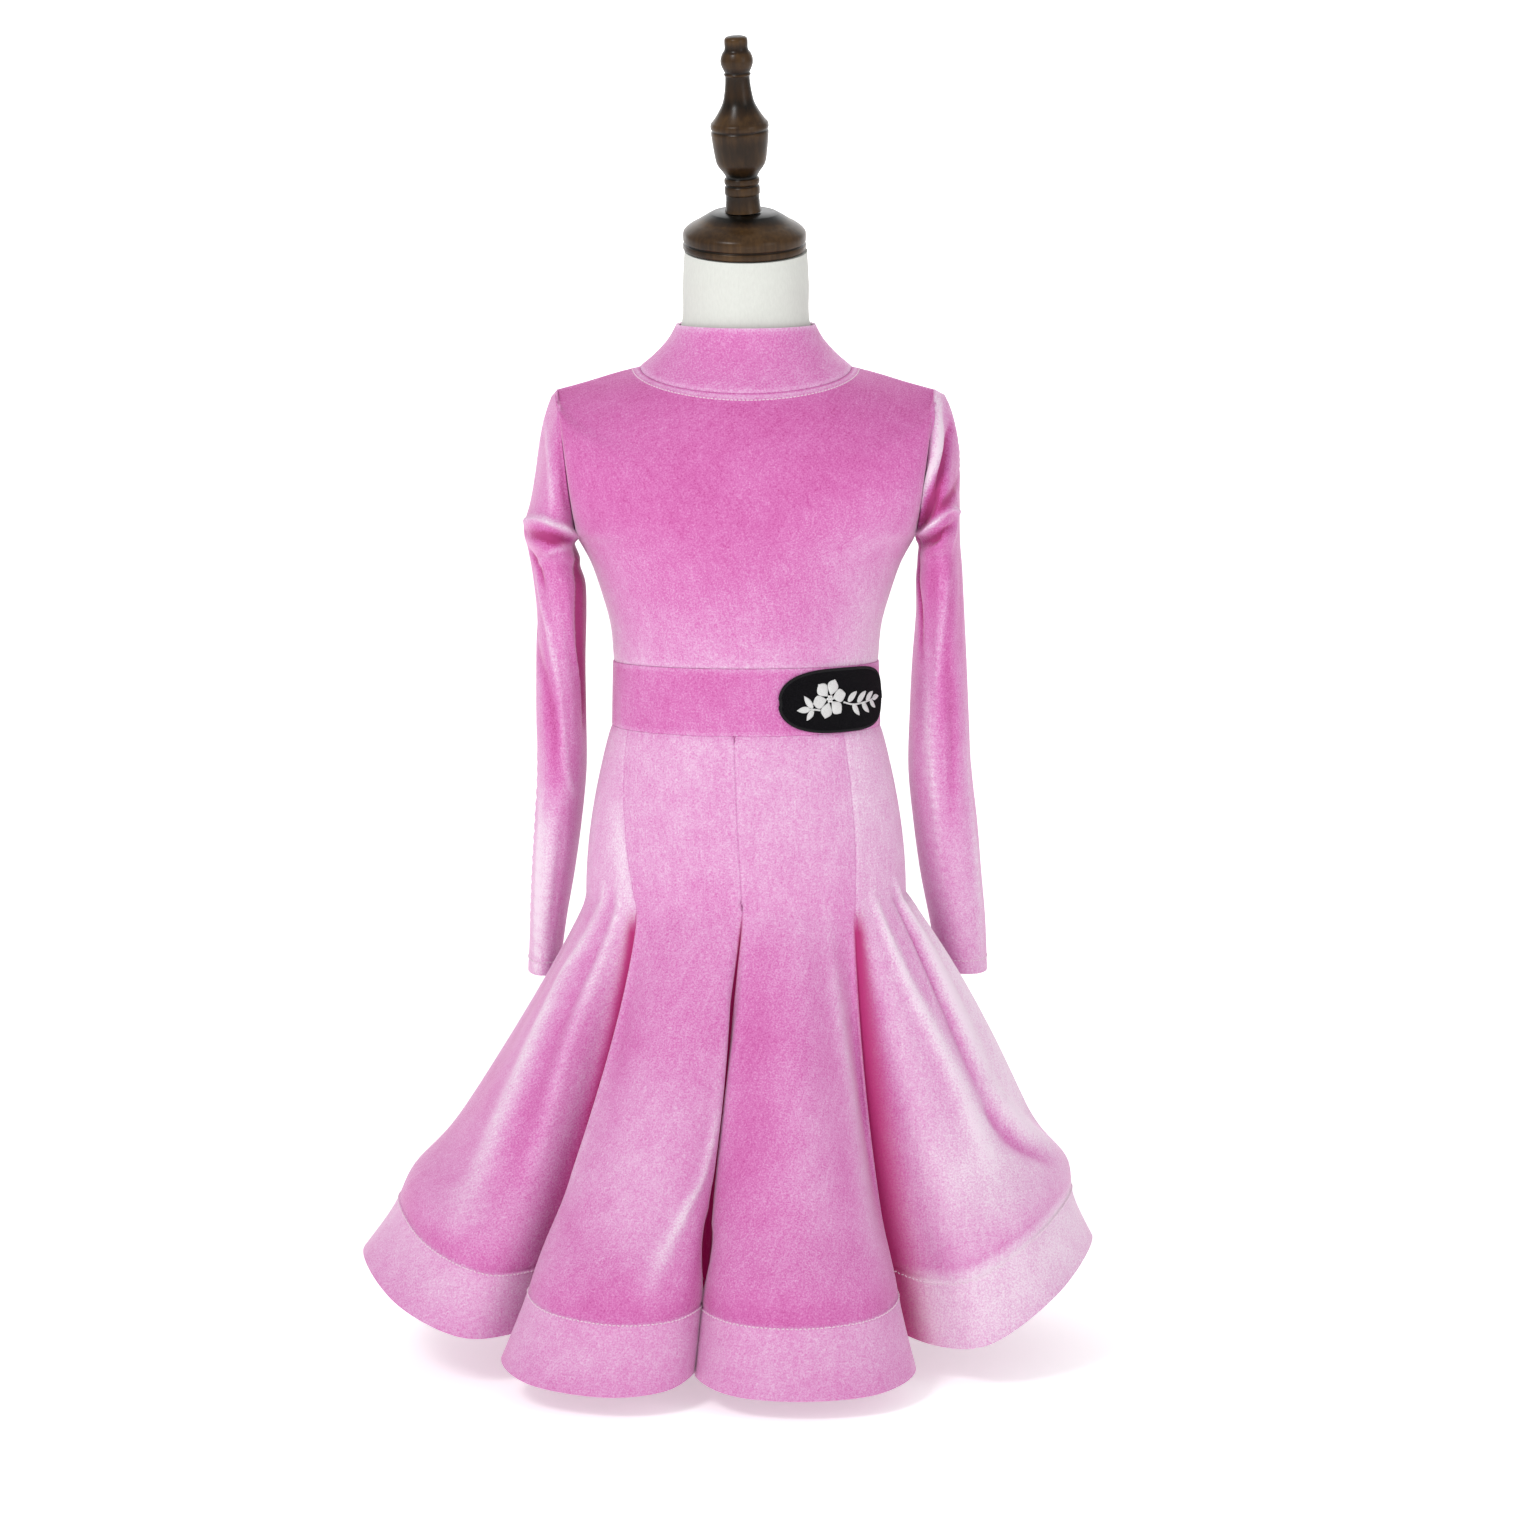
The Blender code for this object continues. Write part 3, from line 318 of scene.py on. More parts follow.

# Soft ridges and troughs of the gores. A route is points of share across the gore and share of
# the flare from hip to hem (below nought above the hip). The width is a share of the gore, the
# height is outward (below nought for a trough), and the tone is how much paler the cloth is
# painted there: a painted highlight along a ridge, and below nought painted shade in a trough.
Crease = namedtuple("Crease", "route width height tone")
GORE_CREASES = {
    "skirt_front_left": [
        Crease([(0.12, 0.00), (0.20, 0.30), (0.27, 0.76)], 0.045, 1.8, 0.10),
        Crease([(0.30, 0.10), (0.36, 0.45), (0.40, 0.82)], 0.080, -1.8, -0.10),
        Crease([(0.75, 0.42), (0.70, 0.56), (0.65, 0.61), (0.59, 0.695), (0.545, 0.81)],
               0.022, 2.0, 0.36),
        Crease([(0.82, 0.58), (0.745, 0.69), (0.685, 0.82)], 0.045, -0.8, -0.24),
        Crease([(0.93, -0.02), (0.86, 0.14), (0.78, 0.33), (0.75, 0.60)], 0.060, 1.6, 0.10),
        Crease([(0.40, 0.30), (0.42, 0.60), (0.42, 0.86)], 0.250, 0.0, 0.22),
        Crease([(0.78, 0.20), (0.78, 0.46), (0.78, 0.72)], 0.050, 2.4, 0.0),
        Crease([(0.79, 0.66), (0.79, 0.75), (0.79, 0.825)], 0.045, -3.6, 0.0),
        Crease([(0.78, 0.77), (0.77, 0.91), (0.77, 1.06)], 0.060, 2.5, 0.0),
        Crease([(0.96, 0.10), (0.90, 0.33), (0.84, 0.84)], 0.035, -1.6, -0.14),
        Crease([(0.20, 0.60), (0.45, 0.74), (0.50, 0.84)], 0.120, -0.8, -0.12),
    ],
    "skirt_front_right": [
        Crease([(0.10, 0.00), (0.13, 0.30), (0.20, 0.70)], 0.040, 1.4, 0.16),
        Crease([(0.30, 0.02), (0.33, 0.30), (0.34, 0.72)], 0.090, -1.4, -0.14),
        Crease([(0.21, 0.20), (0.21, 0.46), (0.21, 0.72)], 0.050, 2.0, 0.0),
        Crease([(0.20, 0.68), (0.20, 0.76), (0.20, 0.825)], 0.045, -2.6, 0.0),
        Crease([(0.22, 0.77), (0.22, 0.91), (0.22, 1.06)], 0.060, 2.4, 0.0),
        Crease([(0.60, -0.02), (0.64, 0.20), (0.68, 0.45), (0.665, 0.80)], 0.040, 1.8, 0.22),
        Crease([(0.50, 0.30), (0.54, 0.55), (0.52, 0.82)], 0.060, 1.0, 0.08),
        Crease([(0.80, 0.10), (0.80, 0.45), (0.77, 0.82)], 0.050, -1.8, -0.10),
        Crease([(0.93, 0.05), (0.90, 0.40), (0.86, 0.80)], 0.035, 1.3, 0.18),
    ],
    "skirt_side_right": [
        Crease([(0.06, 0.02), (0.10, 0.25), (0.13, 0.72)], 0.045, -2.4, -0.14),
        Crease([(0.17, -0.08), (0.24, 0.06), (0.28, 0.18), (0.315, 0.31), (0.338, 0.46),
                (0.35, 0.68)], 0.024, 3.2, 0.38),
        Crease([(0.32, -0.08), (0.372, 0.07), (0.386, 0.22), (0.388, 0.40), (0.395, 0.60)],
               0.015, -3.8, -0.26),
        Crease([(0.34, -0.14), (0.41, 0.08), (0.424, 0.24), (0.42, 0.54)], 0.022, 3.6, 0.34),
        Crease([(0.47, -0.02), (0.45, 0.25), (0.46, 0.50), (0.49, 0.86)], 0.080, 1.2, 0.24),
        Crease([(0.385, 0.52), (0.41, 0.63), (0.438, 0.695), (0.47, 0.76)], 0.016, -4.4, -0.40),
        Crease([(0.42, 0.50), (0.445, 0.61), (0.47, 0.67), (0.50, 0.73)], 0.022, 4.2, 0.20),
        Crease([(0.30, 0.50), (0.33, 0.66), (0.38, 0.84)], 0.110, 0.0, 0.22),
        Crease([(0.22, 0.15), (0.23, 0.45), (0.24, 0.70)], 0.060, 0.0, 0.12),
        Crease([(0.30, 0.82), (0.30, 0.92), (0.30, 1.04)], 0.500, 0.0, 0.70),
        Crease([(0.46, 0.00), (0.51, 0.30), (0.49, 0.62)], 0.035, 3.0, 0.26),
        Crease([(0.56, 0.05), (0.59, 0.35), (0.57, 0.78)], 0.035, -3.0, -0.16),
        Crease([(0.66, -0.05), (0.68, 0.30), (0.64, 0.72)], 0.040, 3.0, 0.20),
        Crease([(0.78, 0.00), (0.76, 0.40), (0.72, 0.80)], 0.045, -2.8, -0.16),
        Crease([(0.90, -0.04), (0.87, 0.30), (0.82, 0.74)], 0.040, 2.6, 0.20),
    ],
    "skirt_back_right": [
        Crease([(0.10, 0.00), (0.16, 0.35), (0.24, 0.76)], 0.045, 1.6, 0.18),
        Crease([(0.34, 0.06), (0.38, 0.40), (0.36, 0.80)], 0.080, -1.8, -0.12),
        Crease([(0.56, -0.02), (0.60, 0.30), (0.63, 0.72)], 0.040, 1.8, 0.20),
        Crease([(0.76, 0.10), (0.76, 0.45), (0.73, 0.82)], 0.060, -1.6, -0.12),
        Crease([(0.92, 0.00), (0.87, 0.35), (0.84, 0.70)], 0.040, 1.4, 0.18),
    ],
    "skirt_back_left": [
        Crease([(0.09, 0.02), (0.14, 0.30), (0.22, 0.66)], 0.040, 1.6, 0.16),
        Crease([(0.30, 0.00), (0.32, 0.35), (0.37, 0.82)], 0.070, -1.8, -0.14),
        Crease([(0.46, 0.12), (0.52, 0.45), (0.50, 0.80)], 0.040, 1.4, 0.18),
        Crease([(0.70, -0.04), (0.66, 0.25), (0.69, 0.70)], 0.045, 1.8, 0.22),
        Crease([(0.84, 0.08), (0.82, 0.45), (0.78, 0.84)], 0.050, -1.8, -0.12),
    ],
    "skirt_side_left": [
        Crease([(0.10, -0.02), (0.15, 0.35), (0.20, 0.76)], 0.040, 2.6, 0.20),
        Crease([(0.22, 0.04), (0.27, 0.40), (0.30, 0.82)], 0.045, -2.8, -0.16),
        Crease([(0.34, -0.05), (0.39, 0.30), (0.41, 0.72)], 0.040, 2.6, 0.22),
        Crease([(0.46, 0.00), (0.50, 0.35), (0.53, 0.80)], 0.050, -2.4, -0.14),
        Crease([(0.73, -0.14), (0.69, 0.06), (0.635, 0.20), (0.64, 0.45), (0.665, 0.80)],
               0.026, 3.2, 0.36),
        Crease([(0.79, -0.08), (0.745, 0.10), (0.70, 0.35), (0.72, 0.70)], 0.026, -2.4, -0.08),
        Crease([(0.84, -0.12), (0.80, 0.08), (0.76, 0.30), (0.78, 0.66)], 0.028, 2.4, 0.26),
        Crease([(0.90, 0.05), (0.86, 0.35), (0.87, 0.84)], 0.045, -2.4, 0.04),
        Crease([(0.58, 0.52), (0.66, 0.72), (0.72, 0.84)], 0.120, -0.8, 0.04),
        Crease([(0.76, 0.20), (0.75, 0.43), (0.75, 0.66)], 0.050, 0.0, -0.22),
        Crease([(0.97, 0.02), (0.94, 0.33), (0.91, 0.46), (0.89, 0.60), (0.875, 0.82)],
               0.042, -1.0, -0.50),
        Crease([(0.88, -0.62), (0.90, -0.20), (0.92, 0.20)], 0.110, 0.0, 0.26),
    ],
}

# Creases of the sleeves and the bodice, with the same columns. Here a route is points in
# millimetres, which may lie a little off the surface, and the width is in millimetres too.
SLEEVE_CREASES = {
    "sleeve_left": [
        # The puff at the elbow of the shoulder, and the hollow under it
        Crease([(-159, -8, 603), (-147, -37, 608), (-135, -42, 605), (-124, -29, 597),
                (-120, 2, 591)], 2.7, 5.6, 0.60),
        Crease([(-156, -14, 595), (-147, -36, 596), (-136, -42, 594), (-124, -26, 591)],
               4.2, -5.6, -0.80),
        Crease([(-149, -26, 574), (-141, -42, 582), (-132, -42, 587), (-122, -20, 588)],
               2.4, 2.2, 0.46),
        Crease([(-153, -16, 582), (-149, -27, 572), (-145, -31, 558)], 3.6, -2.6, -0.50),
        Crease([(-157, -6, 588), (-155, -10, 566), (-153, -10, 545)], 5.0, 1.0, 0.12),
        # Long ridge down the front with a hollow beside it
        Crease([(-150, -22, 562), (-148, -24, 549), (-141, -30, 526), (-135, -30, 494),
                (-131, -25, 465), (-128, -15, 426), (-123, -4, 404)], 3.0, 2.6, 0.44),
        Crease([(-153, 6, 530), (-146, -21, 495), (-140, -22, 463), (-139, -14, 423),
                (-141, -4, 396)], 6.5, -2.2, -0.30),
        Crease([(-138, -37, 560), (-131, -33, 521), (-125, -24, 483), (-122, -13, 440)],
               5.0, 0.9, 0.12),
        # Edge of the fold that faces the body, and its deep inner side
        Crease([(-129, -39, 586), (-125, -33, 543), (-122, -26, 515), (-118, -13, 488),
                (-116, -4, 462)], 3.2, 2.0, 0.0),
        Crease([(-120, -14, 582), (-118, -22, 550), (-117, -17, 518), (-116, -5, 484),
                (-116, 2, 456)], 5.5, -3.6, -0.78),
        Crease([(-116, -4, 590), (-114, -8, 548), (-113, -2, 515), (-113, 8, 484),
                (-114, 16, 450)], 9.0, 0.0, -0.85),
        # Upper sleeve
        Crease([(-128, 0, 699), (-136, 0, 686), (-143, 0, 664), (-149, 0, 640)], 12.0, 3.0, 0.0),
        Crease([(-143, -6, 676), (-140, -32, 652), (-138, -42, 626), (-139, -44, 612)],
               3.0, 1.2, 0.30),
        Crease([(-141, -2, 680), (-147, 0, 652), (-154, 2, 622)], 6.0, 0.6, 0.20),
        Crease([(-132, -32, 680), (-129, -42, 637), (-124, -36, 609)], 3.4, -1.2, -0.20),
        # Lower sleeve
        Crease([(-151, 4, 404), (-152, 16, 350), (-156, 36, 260)], 6.0, 0.8, 0.44),
        Crease([(-142, -8, 404), (-146, 8, 350), (-152, 30, 270)], 9.0, 0.5, 0.30),
        Crease([(-132, -4, 390), (-136, 8, 345), (-144, 26, 290)], 4.0, -1.4, -0.10),
        Crease([(-122, 2, 372), (-128, 16, 330), (-136, 40, 285)], 4.0, -1.4, -0.16),
        # Hidden side
        Crease([(-160, 16, 606), (-142, 38, 600), (-122, 32, 590)], 5.0, 3.4, 0.22),
        Crease([(-157, 18, 582), (-140, 40, 578), (-122, 30, 582)], 5.6, -3.6, -0.42),
        Crease([(-152, 30, 556), (-138, 46, 480), (-126, 54, 400)], 6.5, 1.8, 0.22),
        Crease([(-148, 36, 530), (-132, 48, 460), (-122, 50, 400)], 7.0, -2.0, -0.26),
        Crease([(-151, 34, 450), (-150, 56, 380), (-152, 80, 300)], 5.0, 1.8, 0.16),
        Crease([(-153, -2, 540), (-153, 12, 470), (-152, 26, 400)], 5.0, -1.8, -0.10),
        Crease([(-152, 12, 430), (-154, 34, 360), (-158, 56, 300)], 4.0, 1.4, 0.16),
    ],
    "sleeve_right": [
        # Shoulder ridge down to the armpit, with the valley outside it
        Crease([(131, 0, 698), (140, 0, 687), (148, 0, 666), (152, 0, 640)], 14.0, 6.4, 0.0),
        Crease([(135, -2, 704), (138, -20, 688), (138, -30, 672), (134, -40, 650),
                (130, -42, 632)], 5.4, 3.4, 0.62),
        Crease([(131, -41, 648), (127, -39, 629), (123, -31, 612), (120, -20, 597)],
               2.4, 2.4, 0.60),
        Crease([(153, -10, 634), (147, -34, 624), (138, -40, 616), (127, -34, 606)],
               4.2, -2.4, -0.70),
        Crease([(146, -10, 672), (143, -32, 650), (136, -43, 631), (128, -39, 615),
                (122, -26, 602)], 4.6, -6.4, -0.95),
        Crease([(149, -8, 655), (150, -24, 632), (151, -22, 618)], 4.5, 0.6, -0.08),
        # Curled lip over the hollow under the arm
        Crease([(120, -18, 596), (126, -32, 598), (131, -40, 603), (138, -44, 610),
                (145, -38, 615), (152, -20, 611)], 2.2, 5.6, 0.62),
        Crease([(122, -16, 588), (131, -38, 593), (140, -42, 599), (147, -33, 603)],
               3.2, -5.8, -0.56),
        # Long ridge between the front and the outer face
        Crease([(153, -22, 608), (150, -32, 592), (146, -36, 570), (142, -36, 548),
                (138, -32, 520), (135, -27, 470), (133, -16, 425), (134, -6, 385)],
               3.4, 2.2, 0.28),
        Crease([(131, -37, 589), (132, -34, 563), (130, -29, 533), (129, -26, 500)],
               5.0, -1.6, -0.18),
        Crease([(145, -34, 585), (143, -31, 545), (142, -27, 500), (142, -20, 455)], 5.0, 0.0, -0.24),
        Crease([(129, -30, 540), (127, -26, 490), (127, -16, 436), (131, -4, 370)], 5.5, 0.6, 0.36),
        Crease([(122, -12, 594), (122, -10, 566), (123, -16, 540), (123, -20, 508)],
               3.6, -3.4, -0.75),
        Crease([(152, -16, 580), (151, -18, 540), (150, -18, 505)], 5.0, -0.8, -0.10),
        # Lower sleeve
        Crease([(145, -25, 500), (149, -15, 440), (149, -4, 385)], 5.0, -2.4, -0.26),
        Crease([(131, -21, 470), (135, -8, 405), (141, 10, 335)], 3.6, 1.6, 0.22),
        Crease([(158, -8, 470), (161, 6, 405), (168, 24, 335), (172, 38, 272)], 5.0, 1.2, 0.26),
        Crease([(152, 2, 372), (156, 16, 325), (160, 28, 285)], 6.0, -0.8, 0.08),
        # Hidden side
        Crease([(149, 22, 640), (141, 40, 618), (128, 38, 600)], 5.0, -3.4, -0.30),
        Crease([(122, 24, 592), (136, 42, 600), (151, 24, 612)], 3.6, 3.4, 0.24),
        Crease([(123, 28, 582), (136, 42, 587), (151, 24, 598)], 5.4, -3.2, -0.34),
        Crease([(150, 30, 580), (140, 46, 505), (132, 52, 420)], 6.5, 1.8, 0.20),
        Crease([(142, 38, 560), (132, 46, 490), (126, 48, 420)], 7.0, -1.9, -0.26),
        Crease([(152, 40, 470), (154, 56, 400), (160, 78, 320)], 5.0, 1.8, 0.18),
        Crease([(158, 2, 560), (161, 12, 490), (163, 22, 430)], 5.0, -1.8, -0.12),
    ],
}
BODICE_CREASES = [
    Crease([(-119, -28, 604), (-100, -50, 616), (-70, -68, 624)], 5.0, -0.9, -0.06),
    Crease([(-117, -26, 592), (-98, -50, 596), (-80, -62, 594)], 6.0, 0.6, 0.08),
    Crease([(119, -28, 604), (102, -50, 614), (74, -66, 620)], 5.0, -0.9, -0.06),
    Crease([(117, -26, 590), (98, -50, 594), (82, -60, 592)], 6.0, 0.6, 0.08),
    Crease([(-88, -30, 560), (-70, -55, 556), (-45, -70, 560)], 9.0, -0.6, -0.03),
    Crease([(88, -30, 556), (70, -55, 550), (45, -70, 553)], 9.0, -0.6, -0.03),
    Crease([(-119, 28, 604), (-98, 50, 612), (-72, 62, 618)], 5.0, -0.9, -0.06),
    Crease([(119, 28, 604), (98, 50, 610), (70, 62, 614)], 5.0, -0.9, -0.06),
    Crease([(-80, 45, 530), (-55, 60, 536), (-25, 68, 532)], 8.0, -0.7, -0.05),
    Crease([(80, 45, 534), (50, 60, 528), (22, 68, 530)], 8.0, -0.7, -0.05),
    Crease([(-70, 50, 640), (-45, 60, 600), (-30, 66, 560)], 7.0, 0.6, 0.06),
    Crease([(72, 50, 636), (48, 60, 602), (26, 66, 566)], 7.0, 0.6, 0.06),
]


# Curves, grids and soft steps
ROUTE_STEPS = 8
ROUTE_END = 0.06
FADE_POWER = 0.6
DULLING = 0.8
TINY = 1e-9


def curve_at(points, params):
    """Catmull-Rom curve through rows of points, read at parameters counted in rows."""
    points = np.asarray(points, dtype=float)
    ends = np.concatenate([[2 * points[0] - points[1]], points, [2 * points[-1] - points[-2]]])
    params = np.clip(np.asarray(params, dtype=float), 0, len(points) - 1 - TINY)
    first = params.astype(int)
    u = (params - first).reshape((-1,) + (1,) * (points.ndim - 1))
    p0, p1, p2, p3 = (ends[first + step] for step in range(4))
    return 0.5 * (2 * p1 + (p2 - p0) * u + (2 * p0 - 5 * p1 + 4 * p2 - p3) * u ** 2
                  + (3 * p1 - p0 - 3 * p2 + p3) * u ** 3)


def resampled(points, count):
    """The same curve at a number of even parameters."""
    return curve_at(points, np.linspace(0, len(points) - 1, count))


def climb(value, start, full):
    """0 at the first level and 1 at the second, straight between them and level beyond."""
    return np.clip((value - start) / (full - start), 0, 1)


def bell(away, width, power=2):
    """1 at no distance, and next to nothing at twice the width."""
    return np.exp(-(away / width) ** power)


def dulled(tones, least):
    """How much of its shimmer the pile keeps where its creases are painted in shade."""
    return np.clip(1 + DULLING * np.minimum(tones, 0), least, 1)


def end_fade(run):
    """How strong a crease is along its run from 0 to 1: it dies away at both ends."""
    return np.sin(np.clip(run, 0, 1) * math.pi) ** FADE_POWER


def unit(vectors):
    """Vectors of length one."""
    return vectors / np.maximum(np.linalg.norm(vectors, axis=-1, keepdims=True), TINY)


def grid_normals(grid, ring=False):
    """Outward normals of a grid of points."""
    down = np.gradient(grid, axis=0, edge_order=2)
    if ring:
        across = (np.roll(grid, -1, axis=1) - np.roll(grid, 1, axis=1)) / 2
    else:
        across = np.gradient(grid, axis=1, edge_order=2)
    return unit(np.cross(down, across))


def arc_lengths(grid, axis):
    """Distance run along a grid's rows or columns, in millimetres."""
    steps = np.linalg.norm(np.diff(grid, axis=axis), axis=2)
    first = np.zeros_like(np.take(steps, [0], axis=axis))
    return np.concatenate([first, np.cumsum(steps, axis=axis)], axis=axis)


def apply_creases(grid, normals, creases):
    """Push a grid out along soft ridges and in along soft troughs; gives their painted highlights and
    shade too.
    """
    heights = np.zeros(grid.shape[:2])
    tones = np.zeros(grid.shape[:2])
    for crease in creases:
        steps = ROUTE_STEPS * (len(crease.route) - 1) + 1
        away = np.full(grid.shape[:2], np.inf)
        along = np.zeros(grid.shape[:2])
        for index, point in enumerate(resampled(crease.route, steps)):
            distance = np.linalg.norm(grid - point, axis=2)
            nearer = distance < away
            away[nearer] = distance[nearer]
            along[nearer] = index / (steps - 1)
        swell = end_fade(ROUTE_END + along * (1 - 2 * ROUTE_END)) * bell(away, crease.width)
        heights += crease.height * swell
        # Painted highlight along a ridge, painted shade in a trough
        tones += crease.tone * swell
    return grid + normals * heights[:, :, None], tones


def seam_distances(grid, ring, rows, columns):
    """Distances from the seams at a grid's first and last row and its sides."""
    sides = []
    along = arc_lengths(grid, 0)
    if rows[0]:
        sides.append(along)
    if rows[1]:
        sides.append(along[-1:] - along)
    if columns and not ring:
        across = arc_lengths(grid, 1)
        sides += [across, across[:, -1:] - across]
    return sides


def seam_ditch(grid, normals, ring=False, rows=(True, True)):
    """Pull the cloth in beside its seams."""
    pull = np.zeros(grid.shape[:2])
    for away in seam_distances(grid, ring, rows, True):
        pull = np.maximum(pull, np.clip(1 - away / DITCH_WIDTH, 0, 1) ** 2)
    return grid - normals * (DITCH_DEPTH * pull)[:, :, None]


def seam_highlight(grid, rows=(True, True), columns=True):
    """Painted highlight: how much paler the cloth is painted beside a seam."""
    glow = np.zeros(grid.shape[:2])
    for away in seam_distances(grid, False, rows, columns):
        glow = np.maximum(glow, SEAM_HIGHLIGHT * bell(away, SEAM_HIGHLIGHT_WIDTH))
    return glow


# Meshes and their attributes
CLOTH_SHARP = 50.0
BLOCK_SHARP = 40.0


def from_bmesh(name, body, finish, sharp=BLOCK_SHARP):
    """A smooth object from a mesh being built, sharp only at edges beyond an angle."""
    mesh = bpy.data.meshes.new(name)
    body.to_mesh(mesh)
    body.free()
    mesh.shade_smooth()
    mesh.set_sharp_from_angle(angle=math.radians(sharp))
    mesh.materials.append(finish)
    made = bpy.data.objects.new(name, mesh)
    bpy.context.scene.collection.objects.link(made)
    return made


def mesh_object(name, points, faces, finish):
    """A smooth object from points in millimetres, with its faces turned outward."""
    draft = bpy.data.meshes.new(name + "_draft")
    draft.from_pydata((np.asarray(points, dtype=float) * MM).tolist(), [], faces)
    draft.validate()
    body = bmesh.new()
    body.from_mesh(draft)
    bpy.data.meshes.remove(draft)
    bmesh.ops.recalc_face_normals(body, faces=body.faces)
    return from_bmesh(name, body, finish, CLOTH_SHARP)


def paint(piece, label, values):
    """Give each point of a piece a value for its material to read."""
    layer = piece.data.attributes.new(label, "FLOAT", "POINT")
    layer.data.foreach_set("value", np.asarray(values).astype(np.float32))


def finished(piece, slot, *nodes, body=BODY):
    """Hide the solids that a piece stands for and put it on the body it rides on; the slot is not
    used.
    """
    if nodes:
        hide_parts(*nodes)
    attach(piece, body)
    return piece


def wall_faces(rows, columns, ring):
    """Faces of a wall: outer grid, inner grid and the rims between them."""
    shift = rows * columns
    last = columns if ring else columns - 1
    faces = []
    for row in range(rows - 1):
        for column in range(last):
            following = (column + 1) % columns
            a, b = row * columns + column, row * columns + following
            c, d = (row + 1) * columns + following, (row + 1) * columns + column
            faces.append((a, d, c, b))
            faces.append((a + shift, b + shift, c + shift, d + shift))
    low = (rows - 1) * columns
    for column in range(last):
        following = (column + 1) % columns
        faces.append((column, following, following + shift, column + shift))
        faces.append((low + column, low + column + shift, low + following + shift, low + following))
    if not ring:
        for row in range(rows - 1):
            first, second = row * columns, (row + 1) * columns
            faces.append((first, first + shift, second + shift, second))
            first, second = first + columns - 1, second + columns - 1
            faces.append((first, second, second + shift, first + shift))
    return faces


def ring_faces(rows, columns):
    """Faces of a tube of closed rings, with flat ends."""
    faces = []
    for row in range(rows - 1):
        for step in range(columns):
            following = (step + 1) % columns
            faces.append((row * columns + step, row * columns + following,
                          (row + 1) * columns + following, (row + 1) * columns + step))
    faces.append(tuple(range(columns)))
    faces.append(tuple((rows - 1) * columns + step for step in range(columns)))
    return faces


def tuck_under(inner, ring, free):
    """Carry the inner face a little past each seam, as a turned-in allowance does."""
    borders = [("top", inner[0], inner[1]), ("bottom", inner[-1], inner[-2])]
    if not ring:
        borders += [("left", inner[:, 0], inner[:, 1]), ("right", inner[:, -1], inner[:, -2])]
    for label, edge, beside in borders:
        if label not in free:
            edge += SEAM_TUCK * unit(edge - beside)


def cloth_shell(node, grid, thickness, nap_and_shading, finish, ring=False, square_ends=(None, None),
                square_rows=(None, None), free=(), bloom=1.0, fold=0.0):
    """A thin cloth wall in place of a node, with its nap and its painted light and shade painted on.

    A nap_and_shading of 0 is deep pink and 1 is palest: the pile's lie together with painted
    highlights, painted sheen and painted shade. The bloom is how much of the pile's pale shimmer
    shows, and it is low in a seam. The fold is 1 deep inside a pleat, where the colour is painted a
    darker red as painted shade and given a painted glow. An end or row is squared by taking one axis
    out of its normals, and a free edge is one that no seam holds.
    """
    rows, columns = grid.shape[:2]
    depth = np.asarray(thickness, dtype=float)
    if depth.ndim == 1:
        depth = depth[:, None, None]
    normals = grid_normals(grid, ring)
    for column, axis in zip((0, -1), square_ends):
        if axis is not None:
            normals[:, column, axis] = 0.0
    for row, axis in zip((0, -1), square_rows):
        if axis is not None:
            normals[row, :, axis] = 0.0
            normals[row] = unit(normals[row])
    inner = grid - normals * depth
    tuck_under(inner, ring, free)
    points = np.concatenate([grid.reshape(-1, 3), inner.reshape(-1, 3)])
    piece = mesh_object(node + "_cloth", points, wall_faces(rows, columns, ring), finish)
    # Painted shade in each seam: the tone is painted deeper there and the sheen is cut down
    for away in seam_distances(grid, ring, ("top" not in free, "bottom" not in free), True):
        shade = bell(away, SEAM_WIDTH)
        bloom = bloom * (1 - (1 - SEAM_BLOOM) * shade)
        nap_and_shading = nap_and_shading - SEAM_SHADE * shade
    for label, values in (("nap_and_shading", nap_and_shading), ("bloom", bloom), ("fold", fold),
                          ("across", arc_lengths(grid, 1) * MM),
                          ("along", arc_lengths(grid, 0) * MM)):
        flat = np.broadcast_to(values, (rows, columns)).reshape(-1)
        paint(piece, label, np.concatenate([flat, flat]))
    return finished(piece, "velvet", node)


# Bodice: points down its grids and across its front and each back half
BODICE_STEPS = 90
FRONT_COLUMNS = 121
BACK_COLUMNS = 61
# Its tone over all, and how much paler it is painted low down, at the sides (painted sheen where
# they turn away, and more on the right), at the top (where it is deeper) and in a line under the
# neck seam (a painted highlight)
BODICE_NAP = 0.34
BODICE_LOW = 0.25
BODICE_SIDE = 0.28
BODICE_TOP = -0.05
BODICE_NECK = 0.40
NECK_LINE = 3.0
NECK_LINE_WIDTH = 2.2
SIDE_WIDTH = 20
# Heights, or reaches from the middle, between which each of those tones grows
LOW_HEIGHTS = (608, 503)
TOP_HEIGHTS = (600, 680)
SIDE_HEIGHTS = (640, 590)
SIDE_REACH = (35, 60)
FLANK_HEIGHTS = (600, 540)
FLANK_REACH = (62, 102)
RIGHT_HEIGHTS = (650, 600)
RIGHT_REACH = (40, 85)


def half_row(edge, centre, shares):
    """Points of a half oval from one edge over the centre to the other."""
    angles = np.asarray(shares) * math.pi / 2
    across = np.sin(angles)
    along = np.clip(np.cos(angles), 0.0, 1.0)
    return np.stack([edge[0] * across, edge[1] + (centre[0] - edge[1]) * along,
                     edge[2] + (centre[1] - edge[2]) * along], axis=1)


def end_packed(count, pack=1.35):
    """Shares from -1 to 1, closer together towards both ends."""
    even = np.linspace(-1, 1, count)
    return np.sign(even) * (1 - (1 - np.abs(even)) ** pack)


